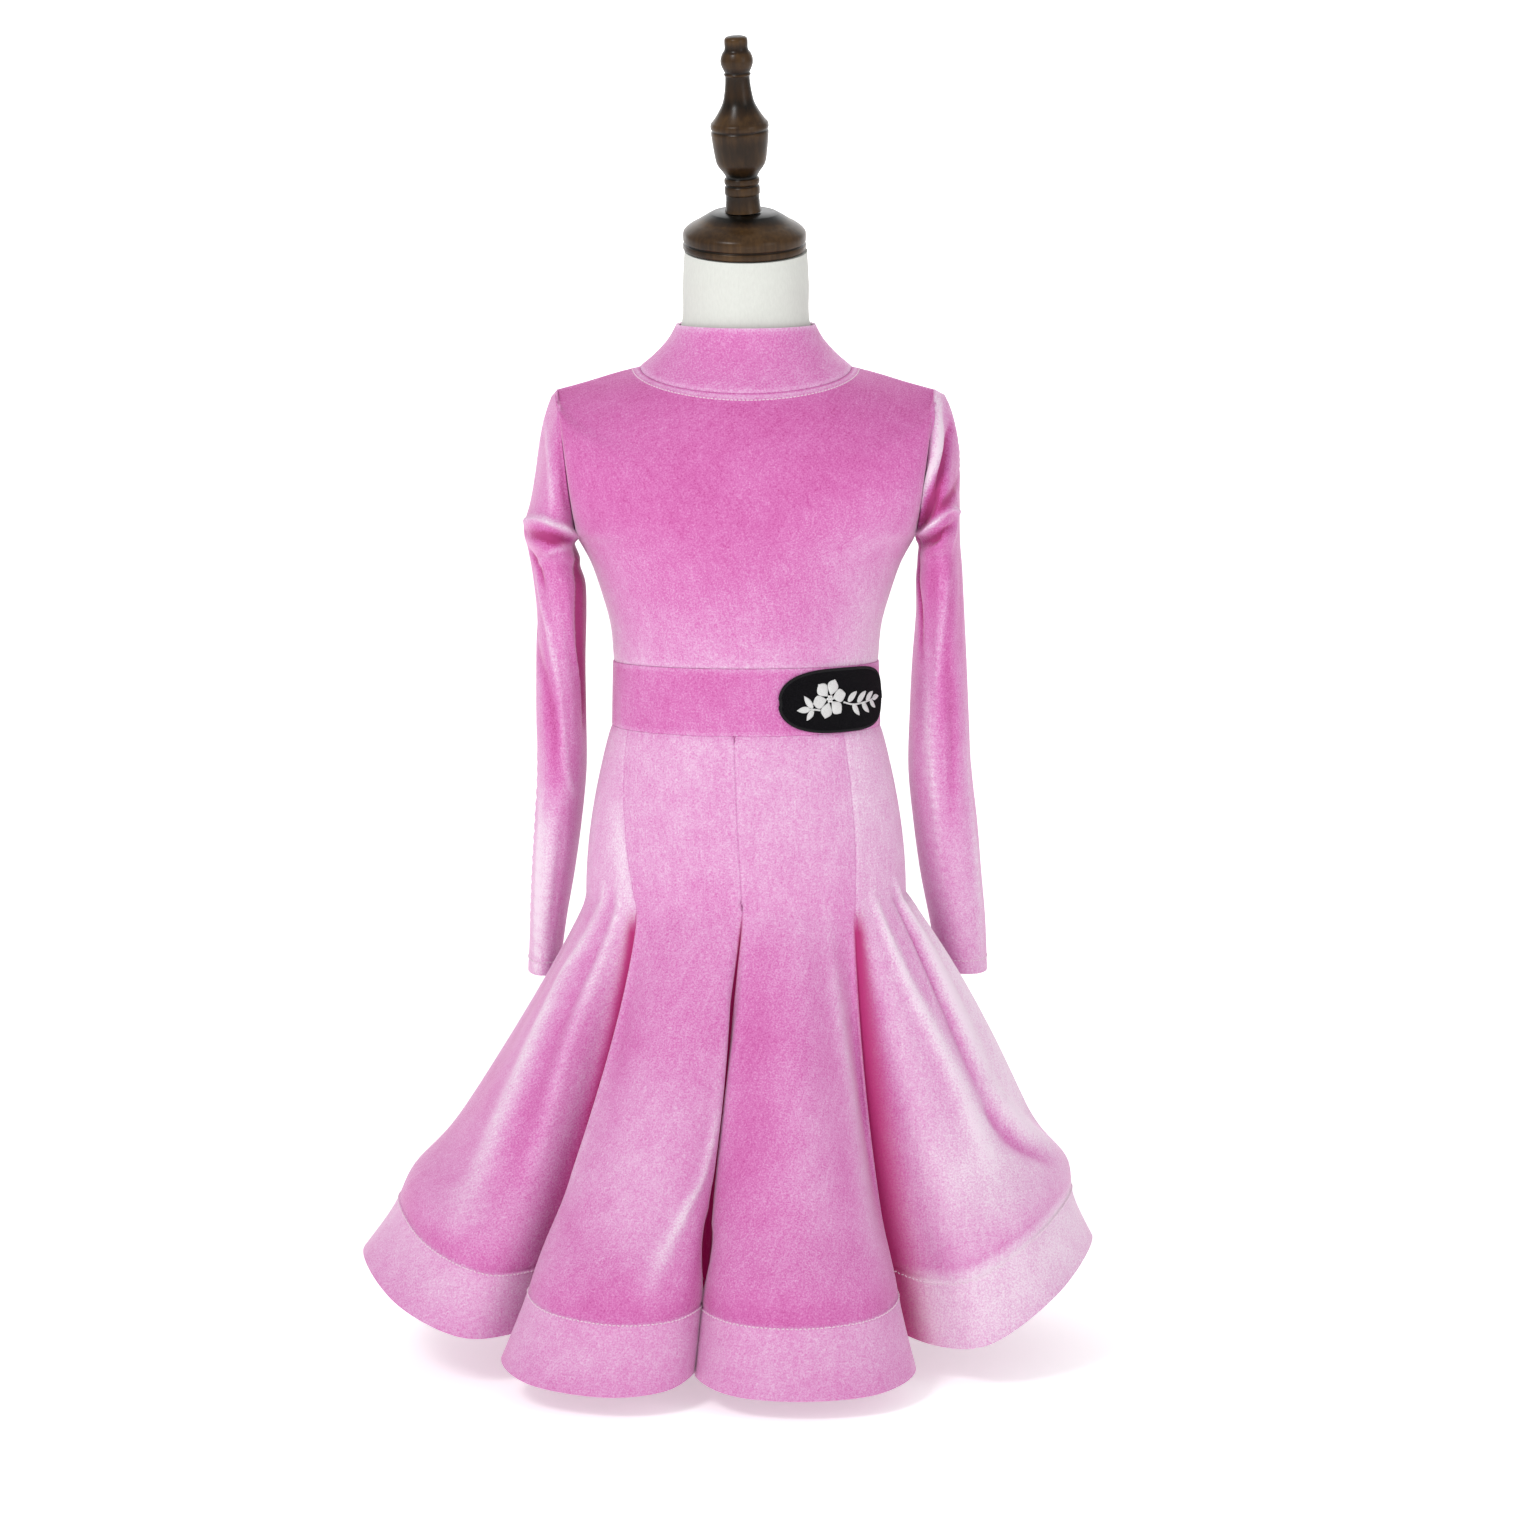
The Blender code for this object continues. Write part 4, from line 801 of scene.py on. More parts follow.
def bodice_grid(front, shares):
    """Face of the bodice's front or back from the neck to the belt, its edge bent at the arm."""
    params = np.linspace(0, len(BODICE_ROWS) - 1, BODICE_STEPS)
    table = curve_at(BODICE_ROWS, params)
    edges = np.array(BODICE_ROWS)[:, :3]
    above = params < SHOULDER_ROW
    table[above, :3] = curve_at(edges[:SHOULDER_ROW + 1], params[above])
    table[~above, :3] = curve_at(edges[SHOULDER_ROW:], params[~above] - SHOULDER_ROW)
    side = -1 if front else 1
    rows = []
    for values in table:
        row = BodiceRow(*values)
        centre = (row.front_y, row.front_z) if front else (row.back_y, row.back_z)
        rows.append(half_row((row.edge_x, side * row.edge_y, row.edge_z), centre, shares))
    return np.array(rows)


def bodice_nap_and_shading(grid, tones):
    """Deep on the chest, paler towards the waist, with painted sheen where the sides turn away and on
    the right, a painted highlight under the neck seam and by the waist seam, and the creases' painted
    highlights and shade.
    """
    x, z = grid[:, :, 0], grid[:, :, 2]
    wide = np.abs(x)
    ends = arc_lengths(grid, 1)
    edge = np.minimum(ends, ends[:, -1:] - ends)
    # Painted sheen: paler at the sides, on the flanks and on the right
    side = bell(edge, SIDE_WIDTH) * climb(z, *SIDE_HEIGHTS) * climb(wide, *SIDE_REACH)
    side += 0.5 * climb(wide, *FLANK_REACH) * climb(z, *FLANK_HEIGHTS)
    side += 0.5 * climb(x, *RIGHT_REACH) * climb(z, *RIGHT_HEIGHTS)
    low = climb(z, *LOW_HEIGHTS) ** 1.1
    top = climb(z, *TOP_HEIGHTS)
    neck = bell(arc_lengths(grid, 0) - NECK_LINE, NECK_LINE_WIDTH)
    return (BODICE_NAP + BODICE_LOW * low + BODICE_SIDE * side + BODICE_TOP * top
            + BODICE_NECK * neck + tones + seam_highlight(grid, rows=(False, True)))


def bodice_piece(name, grid, square_ends, finish):
    """Crease one piece of the bodice, sew it in and make its shell."""
    normals = grid_normals(grid)
    grid, tones = apply_creases(grid, normals, BODICE_CREASES)
    grid = seam_ditch(grid, normals)
    cloth_shell(name, grid, CLOTH, bodice_nap_and_shading(grid, tones), finish, square_ends=square_ends)
    return grid


def build_bodice(finish):
    """The front in one, and two back halves with the zip's seam between them."""
    gap = SEAM_GAP / 2
    front = bodice_grid(True, end_packed(FRONT_COLUMNS))
    front[:, (0, -1), 1] -= gap
    grids = {"bodice_front": bodice_piece("bodice_front", front, (1, 1), finish)}
    for name, side in (("bodice_back_left", -1), ("bodice_back_right", 1)):
        back = bodice_grid(False, np.linspace(min(side, 0), max(side, 0), BACK_COLUMNS))
        outer, middle = (0, -1) if side < 0 else (-1, 0)
        back[:, outer, 1] += gap
        back[:, middle, 0] += side * gap
        square_ends = (0, 1) if side < 0 else (1, 0)
        grids[name] = bodice_piece(name, back[:, ::-1], square_ends, finish)
    return grids


# Collar: points down and round it, the angle of its open ends and its depth against its width
COLLAR_STEPS = 28
COLLAR_COLUMNS = 180
COLLAR_END = 179.6
COLLAR_DEPTH_SHARE = 0.97
# Its tone over all, and how much paler it is painted at its edges and towards the back, as painted
# sheen
COLLAR_NAP = 0.42
COLLAR_EDGES = 0.10
COLLAR_BACK = 0.12


def collar_grid():
    """Face of the collar, from its top edge down to the neck seam."""
    base = BODICE_ROWS[0]
    turn = np.radians(np.linspace(-COLLAR_END, COLLAR_END, COLLAR_COLUMNS))
    front = np.cos(turn)
    base_y = np.where(front > 0, base.front_y, -base.back_y)
    base_z = np.where(front > 0, base.front_z, base.back_z)
    low = np.stack([base.edge_x * np.sin(turn), base_y * front,
                    base.edge_z + (base_z - base.edge_z) * np.abs(front) + SEAM_GAP], axis=1)
    top = np.stack([COLLAR_TOP_HALF * np.sin(turn),
                    -COLLAR_TOP_HALF * COLLAR_DEPTH_SHARE * front,
                    np.full(COLLAR_COLUMNS, COLLAR_TOP_Z)], axis=1)
    outward = np.stack([np.sin(turn), -front, np.zeros(COLLAR_COLUMNS)], axis=1)
    return np.array([top + (low - top) * share - outward * bow
                     for share, bow in resampled(COLLAR_BOW, COLLAR_STEPS)])


def build_collar(finish):
    """One band, painted a little paler at its edges and towards the back as painted sheen, with
    painted highlights by its edges.
    """
    grid = collar_grid()
    grid = seam_ditch(grid, grid_normals(grid), rows=(False, True))
    share = np.linspace(0, 1, COLLAR_STEPS)[:, None]
    quarter = np.abs(np.linspace(-2, 2, COLLAR_COLUMNS))[None]
    # Painted sheen at the edges and towards the back
    nap_and_shading = COLLAR_NAP + COLLAR_EDGES * np.abs(share - 0.5) + COLLAR_BACK * climb(quarter, 0.3, 1.3)
    nap_and_shading = nap_and_shading + seam_highlight(grid, columns=False)
    cloth_shell("collar", grid, CLOTH, nap_and_shading, finish, square_rows=(None, 2), free=("top",))


# Sleeves: points down and round them, and the rows over which creases start below the armhole
SLEEVE_STEPS = 210
SLEEVE_COLUMNS = 128
SLEEVE_START_ROWS = 4
# How pale each sleeve is painted at heights from the cuff up to the shoulder: its nap with the
# painted light and sheen on it
SLEEVE_HEIGHTS = [265.0, 320.0, 400.0, 470.0, 600.0, 700.0]
SLEEVE_TONES = {
    "sleeve_left": [0.66, 0.70, 0.58, 0.44, 0.40, 0.52],
    "sleeve_right": [0.66, 0.66, 0.57, 0.48, 0.40, 0.58],
}


def sleeve_grid(rows, side):
    """Face of a sleeve, in rings from the armhole down to the cuff."""
    turn = 2 * math.pi * np.arange(SLEEVE_COLUMNS) / SLEEVE_COLUMNS
    grid = []
    for values in resampled(rows, SLEEVE_STEPS):
        row = SleeveRow(*values)
        middle = np.array([(row.inner_x + row.outer_x) / 2, row.middle_y,
                           (row.inner_z + row.outer_z) / 2])
        reach = np.array([(row.outer_x - row.inner_x) / 2, 0.0, (row.outer_z - row.inner_z) / 2])
        ring = middle + np.outer(np.cos(turn), reach)
        ring[:, 1] -= row.half_depth * np.sin(turn)
        grid.append(ring * np.array([side, 1.0, 1.0]))
    grid = np.array(grid)
    return grid if side < 0 else grid[:, ::-1]


def build_sleeves(finish):
    """Both sleeves, their pile dull inside the deepest creases."""
    grids = {}
    for name, rows, side in (("sleeve_left", LEFT_SLEEVE_ROWS, -1),
                             ("sleeve_right", RIGHT_SLEEVE_ROWS, 1)):
        plain = sleeve_grid(rows, side)
        normals = grid_normals(plain, True)
        creased, tones = apply_creases(plain, normals, SLEEVE_CREASES[name])
        share = climb(np.arange(SLEEVE_STEPS), 0, SLEEVE_START_ROWS)[:, None, None]
        grid = plain * (1 - share) + creased * share
        grid = seam_ditch(grid, normals, True, rows=(True, False))
        # The sleeve's nap and painted light by height, with its creases' painted highlights and shade
        nap_and_shading = np.interp(grid[:, :, 2], SLEEVE_HEIGHTS, SLEEVE_TONES[name]) + tones
        cloth_shell(name, grid, CLOTH, nap_and_shading, finish, ring=True, square_rows=(0, None),
                    free=("bottom",), bloom=dulled(tones, 0.2))
        grids[name] = grid
    return grids


# Belt: its two halves by angle from the front, and points round and down each half
BELT_HALVES = [("waistband_front", -89.9, 89.9), ("waistband_back", 90.1, 269.9)]
BELT_COLUMNS = 121
BELT_STEPS = 25
BELT_NAP = 0.36
BELT_WAVES = 0.04
PUCKER = 0.7


def belt_point(angle, share, proud=0.0):
    """Point of the belt's outer face: share 0 at its top edge, 1 at its lower edge."""
    turn = math.radians(angle)
    front = math.cos(turn)
    depth = WAIST_FRONT if front > 0 else WAIST_BACK
    rise = BELT_RISE_FRONT if front > 0 else BELT_RISE_BACK
    dip = FRONT_DIP if front > 0 else BACK_DIP
    top = WAIST_TOP_Z + rise * abs(front)
    low = WAIST_LOW_Z + SEAM_GAP + dip * abs(front)
    swell = SKIRT_EASE * share + proud
    return np.array([(WAIST_HALF + swell) * math.sin(turn), -(depth + swell) * front,
                     top + (low - top) * share])


def build_belt(finish):
    """Front and back half, lightly puckered where the skirt is sewn on."""
    shares = 0.5 + 0.5 * end_packed(BELT_STEPS)
    down = shares[:, None]
    for name, first, last in BELT_HALVES:
        angles = np.linspace(first, last, BELT_COLUMNS)
        grid = np.array([[belt_point(angle, share) for angle in angles] for share in shares])
        normals = grid_normals(grid)
        along = np.radians(angles)[None]
        pucker = PUCKER * np.sin(along * 23) * np.sin(along * 7 + 1) * (down - 0.3).clip(0)
        grid = seam_ditch(grid + normals * pucker[:, :, None], normals)
        # Painted highlight beside the belt's seams
        nap_and_shading = BELT_NAP + BELT_WAVES * np.sin(along * 5 + down * 2) + seam_highlight(grid)
        cloth_shell(name, grid, BELT_CLOTH, nap_and_shading, finish, square_ends=(1, 1))


# Skirt: rows from belt to hip, points across a gore, and the places of those beside its seams
HIP_ROWS = 22
FLARE_ROWS = 56
BAND_ROWS = 13
HEM_STEP = 0.003
GORE_COLUMNS = 104
SEAM_PARAMS = np.array([0.0, 0.05, 0.12, 0.2])
HIP_ROUNDING = 0.9
# The hem's roll: how much of it goes upward, and how soon it dies away beside a seam
ROLL_RISE = 0.3
ROLL_FADE = 1.8
BAND_CURL = 1.2
# Where the folds begin below the hip, how far their seams stand out, and the hem's groove
FOLD_START = 0.06
EDGE_RISE = 0.62
GROOVE_DEPTH = 0.9
GROOVE_WIDTH = 0.004
# Shares of a gore over which its bloom is lost, and inside a pleat its colour is painted a darker red
# as painted shade with a painted glow
WALL_SHARE = 0.15
FOLD_SHARE = 0.115
WALL_START = 0.1
WALL_DULLING = 0.85
GORE_SEAM_HIGHLIGHT = 0.2
# How much deeper the tone is painted on a gore's crown, where no painted sheen lies, and how faint
# the creases' painted highlights and shade are on the stiff band
CROWN_DEEP = 0.08
BAND_CALM = 0.8
BAND_START = 0.01
# How pale the skirt is painted from the belt to the hem, by share of the flare: its nap, with painted
# shade just above the hem band and painted sheen on the band
NAP_AND_SHADING_LEVELS = [(-1.0, 0.64), (-0.6, 0.63), (-0.25, 0.58), (0.0, 0.52), (0.2, 0.48), (0.5, 0.48),
              (0.72, 0.49), (0.80, 0.44), (0.835, 0.36), (0.848, 0.38), (0.856, 0.60),
              (0.93, 0.60), (1.0, 0.52)]
# How much paler each gore is painted, for the painted light and sheen on its side of the skirt
GORE_SHADING_TONE = {
    "skirt_front_left": 0.02,
    "skirt_front_right": 0.03,
    "skirt_side_right": 0.18,
    "skirt_back_right": 0.04,
    "skirt_back_left": 0.0,
    "skirt_side_left": 0.08,
}
GoreLine = namedtuple("GoreLine", "waist_angle hip_angle hem ease")


def waist_to_hip_point(share, angle_at_waist, angle_at_hip):
    """Point of the fitted upper skirt."""
    turn = math.radians(angle_at_waist + (angle_at_hip - angle_at_waist) * share)
    front = math.cos(turn)
    round_out = math.sin(share * math.pi / 2) ** HIP_ROUNDING
    waist_half = WAIST_HALF + SKIRT_EASE
    half = waist_half + (HIP_HALF - waist_half) * round_out
    waist_depth, hip_depth = (WAIST_FRONT, HIP_FRONT) if front > 0 else (WAIST_BACK, HIP_BACK)
    waist_depth += SKIRT_EASE
    depth = waist_depth + (hip_depth - waist_depth) * round_out
    waist_z = WAIST_LOW_Z + (FRONT_DIP if front > 0 else BACK_DIP) * abs(front)
    return np.array([half * math.sin(turn), -depth * front, waist_z + (HIP_Z - waist_z) * share])


def gore_lines(name, first, second):
    """Lines down a gore: its first seam, its folds and its second seam."""
    waist_span = (second.waist_angle - first.waist_angle) % 360
    hip_span = (second.hip_angle - first.hip_angle) % 360
    stations = [(0.0, first)] + [(fold.share, fold) for fold in GORE_FOLDS[name]]
    stations.append((1.0, second))
    return [GoreLine(first.waist_angle + waist_span * share, first.hip_angle + hip_span * share,
                     np.array([at.hem_x, at.hem_y, at.hem_z]), at.ease)
            for share, at in stations]


def hem_profile(name, flare):
    """How far the cloth stands out near the hem: a roll above the band, then the stiff band."""
    roll = HEM_ROLL[name] * bell(flare - ROLL_FLARE, ROLL_SPREAD)
    band = climb(flare, HEM_START, 1)
    return roll + HEM_KICK * (band ** BAND_CURL - band)


def flare_levels():
    """Shares from the hip to the hem, close together at the stitched top of the hem band."""
    upper = np.linspace(0, HEM_START, FLARE_ROWS)[1:-1]
    seam = HEM_START + HEM_STEP * np.arange(-2, 3)
    band = np.linspace(HEM_START + 4 * HEM_STEP, 1.0, BAND_ROWS)
    return np.concatenate([upper, seam, band])


def gore_grid(name, first, second, params):
    """Face of a gore from belt to hem, with the levels of its rows and the shares across it."""
    lines = gore_lines(name, first, second)
    hips = np.linspace(0, 1, HIP_ROWS)
    levels = flare_levels()
    grid = [curve_at([waist_to_hip_point(share, line.waist_angle, line.hip_angle)
                      for line in lines], params) for share in hips]
    starts = [waist_to_hip_point(1.0, line.waist_angle, line.hip_angle) for line in lines]
    for flare in levels:
        row = []
        for start, line in zip(starts, lines):
            out = flare ** line.ease
            row.append(start + (line.hem - start) * np.array([out, out, flare]))
        grid.append(curve_at(row, params))
    grid = np.array(grid)
    outward = grid_normals(grid) * np.array([1.0, 1.0, ROLL_RISE])
    shares = params / (len(lines) - 1)
    fade = np.clip(1 - ROLL_FADE * (1 - np.sin(shares * math.pi)), 0, 1)[:, None]
    for index, flare in enumerate(levels, HIP_ROWS):
        grid[index] += outward[index] * hem_profile(name, flare) * fade
    return grid, np.concatenate([hips - 1.0, levels]), shares


def gore_creases(name, flares, shares):
    """Height of the soft ridges and troughs over a gore, and the tone of their painted highlights and
    painted shade.
    """
    heights = np.zeros((len(flares), len(shares)))
    tones = np.zeros_like(heights)
    for crease in GORE_CREASES[name]:
        route = resampled(crease.route, 25)
        where = np.interp(flares, route[:, 1], route[:, 0])
        run = (flares - route[0, 1]) / (route[-1, 1] - route[0, 1])
        away = shares[None] - where[:, None]
        swell = end_fade(run)[:, None] * bell(away, crease.width)
        heights += crease.height * swell
        tones += crease.tone * swell
    return heights, tones


def gore_nap_and_shading(name, flares, shares, tones):
    """How pale a gore is painted: its nap, painted light and sheen, and its creases' painted
    highlights and shade, faint on the stiff band.
    """
    levels, marks = zip(*NAP_AND_SHADING_LEVELS)
    nap_and_shading = np.interp(flares, levels, marks)[:, None] + GORE_SHADING_TONE[name]
    crown = np.sin(shares * math.pi)[None]
    band = climb(flares, HEM_START, HEM_START + BAND_START)[:, None]
    nap_and_shading = nap_and_shading - CROWN_DEEP * crown * np.clip(flares[:, None], 0, 1) * (1 - band)
    return nap_and_shading + tones * (1 - BAND_CALM * band)


def gore_piece(name, first, second, params, finish):
    """Crease one gore, groove it at its hem band, sew it in and make its shell."""
    grid, flares, shares = gore_grid(name, first, second, params)
    heights, tones = gore_creases(name, flares, shares)
    normals = grid_normals(grid)
    folded = climb(flares, 0, FOLD_START)[:, None]
    heights[:, (0, -1)] += EDGE_RISE * folded
    heights -= GROOVE_DEPTH * bell(flares - HEM_START, GROOVE_WIDTH)[:, None]
    grid = grid + normals * heights[:, :, None]
    sewn = seam_ditch(grid, normals, rows=(True, False))
    grid = grid + (1 - folded[:, :, None]) * (sewn - grid)
    for edge, beside in ((0, 1), (-1, -2)):
        grid[:, edge] += SEAM_GAP / 2 * unit(grid[:, beside] - grid[:, edge])
    above = (flares < HEM_START)[:, None]
    # Painted light over the gore: its nap with painted highlights, sheen and shade
    nap_and_shading = gore_nap_and_shading(name, flares, shares, tones)
    # Painted highlight beside the gore's seams above the hem band
    nap_and_shading = nap_and_shading + GORE_SEAM_HIGHLIGHT * seam_highlight(grid, rows=(True, False)) * above
    to_seam = np.minimum(shares, 1 - shares)[None]
    wall = bell(to_seam, WALL_SHARE, 4) * climb(flares, 0, WALL_START)[:, None]
    # Painted shade and a painted glow deep inside a pleat
    inside = bell(to_seam, FOLD_SHARE, 4) * folded
    cloth_shell(name, grid, np.where(flares >= HEM_START, HEM_CLOTH, CLOTH), nap_and_shading, finish,
                free=("bottom",), bloom=(1 - WALL_DULLING * wall) * dulled(tones, 0.3),
                fold=inside)
    return grid, flares


def build_skirt(finish):
    """Six gores round the form, each from one seam to the next."""
    last = len(GORE_FOLDS[GORE_NAMES[0]]) + 1
    params = np.concatenate([SEAM_PARAMS, np.linspace(0.3, last - 0.3, GORE_COLUMNS),
                             last - SEAM_PARAMS[::-1]])
    return {name: gore_piece(name, first, second, params, finish)
            for name, first, second in zip(GORE_NAMES, SEAMS, SEAMS[1:] + SEAMS[:1])}


# A record for the cut of a cloth piece, which no piece here is given: width and length of the
# blank in metres, area of the cut piece, how it is held, what holds it and what is sewn on it
Cut = namedtuple("Cut", "width length area held rests_on with_pieces")


# Turned pieces, painted shade: how deep a groove must be to be painted fully dark, and how far below
# nought it goes on a ridge, where it is painted paler as a highlight
FULL_SHADE_DEPTH = 1.4
LEAST_GROOVE_SHADING = -0.15


def moved(x=0.0, z=0.0):
    """Matrix of a move in millimetres."""
    return Matrix.Translation((x * MM, 0.0, z * MM))


def turned(name, profile, finish, segments=96, finer=5):
    """A turned piece about Z from radius and height, rounded between the points.

    It is painted darker in the grooves as painted shade and paler on the ridges as a painted
    highlight.
    """
    smooth = resampled(profile, finer * (len(profile) - 1) + 1)
    reach = 2 * finer
    weights = np.hanning(2 * reach + 3)[1:-1]
    spread = np.convolve(np.pad(smooth[:, 0], reach, mode="edge"), weights / weights.sum(), "valid")
    turn = 2 * math.pi * np.arange(segments) / segments
    points = [(radius * math.cos(angle), radius * math.sin(angle), height)
              for radius, height in smooth for angle in turn]
    piece = mesh_object(name, points, ring_faces(len(smooth), segments), finish)
    # Painted shade in the grooves and painted highlight on the ridges
    groove_shading = np.clip((spread - smooth[:, 0]) / FULL_SHADE_DEPTH, LEAST_GROOVE_SHADING, 1)
    paint(piece, "groove_shading", np.repeat(groove_shading, segments))
    return piece


def build_wood(finish):
    """Neck cap and finial, square to the slanted top of the neck."""
    slant = moved(z=NECK_TOP_Z) @ Matrix.Rotation(NECK_SLANT, 4, "X") @ moved(z=-NECK_TOP_Z)
    cap = turned("neck_cap_wood", CAP_PROFILE, finish)
    cap.matrix_world = slant @ moved(CAP_X)
    finished(cap, "dark_wood", "neck_cap")
    finial = turned("finial_wood", FINIAL_PROFILE, finish)
    foot = moved(FINIAL_X, CAP_TOP_Z + FINIAL_GAP)
    finial.matrix_world = slant @ foot @ Matrix.Rotation(FINIAL_LEAN, 4, "Y")
    finished(finial, "dark_wood", "finial")


# Form: its neck's inset in the cap, its rings below the cap, the bodice's rows that it lies
# lower under, its rings by share down the belt and down the hips, and the points round it
FormRing = namedtuple("FormRing", "half front_y back_y side_z front_z back_z")
NECK_INSET = 0.8
NECK_RINGS = [
    FormRing(45.0, -44.5, 44.5, 772.0, 772.0, 772.0),
    FormRing(45.6, -43.4, 43.0, 745.0, 745.0, 744.0),
    FormRing(54.0, -45.5, 44.0, 722.0, 714.0, 716.0),
]
NECK_STEPS = 25
SHOULDER_ROWS = 5
BELT_SHARES = (0.5, 1.0)
HIP_SHARES = (0.4, 0.75)
FORM_COLUMNS = 96


def form_rings():
    """Rings of the form from the slanted top of the neck to its rounded lower edge."""
    inset = FORM_CLEARANCE
    neck = NECK_RADIUS - NECK_INSET
    rise = neck * math.tan(NECK_SLANT)
    top = FormRing(neck, -neck, neck, NECK_TOP_Z, NECK_TOP_Z - rise, NECK_TOP_Z + rise)
    rings = [FormRing(*ring) for ring in resampled([top] + NECK_RINGS, NECK_STEPS)]
    for index, row in enumerate(BODICE_ROWS):
        drop = inset if index < SHOULDER_ROWS else 0.0
        rings.append(FormRing(row.edge_x - inset, row.front_y + inset, row.back_y - inset,
                              row.edge_z - drop, row.front_z - drop, row.back_z - drop))
    for share in BELT_SHARES:
        z = WAIST_TOP_Z + (WAIST_LOW_Z - WAIST_TOP_Z) * share
        rings.append(FormRing(WAIST_HALF - inset, inset - WAIST_FRONT, WAIST_BACK - inset, z, z, z))
    inset += HIP_CLEARANCE
    for share in HIP_SHARES:
        side, front, back = (waist_to_hip_point(share, angle, angle) for angle in (90, 0, 180))
        rings.append(FormRing(side[0] - inset, front[1] + inset, back[1] - inset,
                              side[2], front[2], back[2]))
    last = rings[-1]
    for turn in np.radians([45, 90]):
        inward = FORM_LOW_ROUND * (1 - math.cos(turn))
        low = FORM_LOW_Z + FORM_LOW_ROUND * (1 - math.sin(turn))
        rings.append(FormRing(last.half - inward, last.front_y + inward, last.back_y - inward,
                              low, low, low))
    return rings


def build_form(finish):
    """The form's torso and neck under the dress, covered in jersey."""
    rings = form_rings()
    points = []
    for ring in rings:
        for step in range(FORM_COLUMNS):
            turn = 2 * math.pi * step / FORM_COLUMNS
            front = math.cos(turn)
            depth, centre_z = ((-ring.front_y, ring.front_z) if front > 0
                               else (ring.back_y, ring.back_z))
            points.append((ring.half * math.sin(turn), -depth * front,
                           ring.side_z + (centre_z - ring.side_z) * abs(front)))
    torso = mesh_object("form_torso_jersey", points, ring_faces(len(rings), FORM_COLUMNS), finish)
    finished(torso, "form_cloth", "form_torso")


def build_stand(finish):
    """Round base plate with a rounded upper edge, and the pole up into the form."""
    rim, top = BASE_RADIUS, BASE_THICKNESS
    edge = [(rim, 0.0), (rim, 4.0), (rim, top - 2), (rim - 0.6, top - 0.6), (rim - 2, top)]
    side = [(POLE_RADIUS, BASE_THICKNESS + SEAM_GAP), (POLE_RADIUS, FORM_LOW_Z - SEAM_GAP)]
    finished(turned("stand_base_steel", edge, finish, 128, 2), "stand_steel", "stand_base")
    finished(turned("stand_pole_steel", side, finish, 64, 8), "stand_steel", "stand_pole")


# Threads and stitches: how a stitch's rings lie along it, and their width and lift in radii
STITCH_PLACES = [0.0, 0.15, 0.5, 0.85, 1.0]
STITCH_WIDTHS = [0.45, 0.9, 1.0, 0.9, 0.45]
STITCH_LIFTS = [-0.35, 0.25, 0.5, 0.25, -0.35]
STITCH_SIDES = 6
STITCH_CLEARANCE = 0.1
NECK_STITCH_AWAY = 5.5
CUFF_STITCH_AWAY = 10.8


def path_frames(path, closed=False):
    """Length along a path and the direction at each of its points."""
    if closed:
        ahead = np.roll(path, -1, axis=0) - np.roll(path, 1, axis=0)
    else:
        ahead = np.gradient(path, axis=0)
    run = np.concatenate([[0.0], np.cumsum(np.linalg.norm(np.diff(path, axis=0), axis=1))])
    return run, unit(ahead)


def point_at(place, run, field):
    """A point between those of a field, at a place along their run."""
    return np.array([np.interp(place, run, field[:, axis]) for axis in range(3)])


def tube(name, path, outward, radius, finish, sides=10, closed=False):
    """A round thread or cord along a path, with the cloth's outward direction at each point."""
    run, ahead = path_frames(path, closed)
    sideways = unit(np.cross(ahead, outward))
    upward = np.cross(sideways, ahead)
    turn = 2 * math.pi * np.arange(sides)[None, :, None] / sides
    rings = path[:, None] + radius * (sideways[:, None] * np.cos(turn)
                                      + upward[:, None] * np.sin(turn))
    faces = ring_faces(len(path), sides)
    if closed:
        faces = faces[:-2]
        last = (len(path) - 1) * sides
        for step in range(sides):
            following = (step + 1) % sides
            faces.append((last + step, last + following, following, step))
    piece = mesh_object(name, rings.reshape(-1, 3), faces, finish)
    paint(piece, "along", np.repeat(run * MM, sides))
    return piece


def stitch_run(path, outward, length, gap, radius, slant):
    """Rings of every stitch of a seam: each sinks into the cloth at both ends."""
    run, ahead = path_frames(path)
    sideways = np.cross(ahead, outward)
    count = max(1, int(run[-1] / (length + gap)))
    starts = (np.arange(count) + 0.5) * run[-1] / count - length / 2
    turn = 2 * math.pi * np.arange(STITCH_SIDES) / STITCH_SIDES
    rings = []
    for index, start in enumerate(starts):
        tilt = slant if index % 2 else -slant
        for place, width, lift in zip(STITCH_PLACES, STITCH_WIDTHS, STITCH_LIFTS):
            middle, side, up = (point_at(start + place * length, run, field)
                                for field in (path, sideways, outward))
            middle = middle + side * tilt * (place - 0.5) + up * (lift * radius + STITCH_CLEARANCE)
            rings.append(middle + width * radius * (np.outer(np.cos(turn), side)
                                                    + np.outer(np.sin(turn), up)))
    return np.array(rings)


def stitches(name, runs, finish, length, gap, radius, slant=0.0):
    """One mesh of all the stitches along one or more runs of a path and its outward side."""
    rings = np.concatenate([stitch_run(path, outward, length, gap, radius, slant)
                            for path, outward in runs])
    one = ring_faces(len(STITCH_PLACES), STITCH_SIDES)
    corners = len(STITCH_PLACES) * STITCH_SIDES
    faces = [tuple(first + corner for corner in face)
             for first in range(0, len(rings) * STITCH_SIDES, corners) for face in one]
    finished(mesh_object(name, rings.reshape(-1, 3), faces, finish), "velvet")


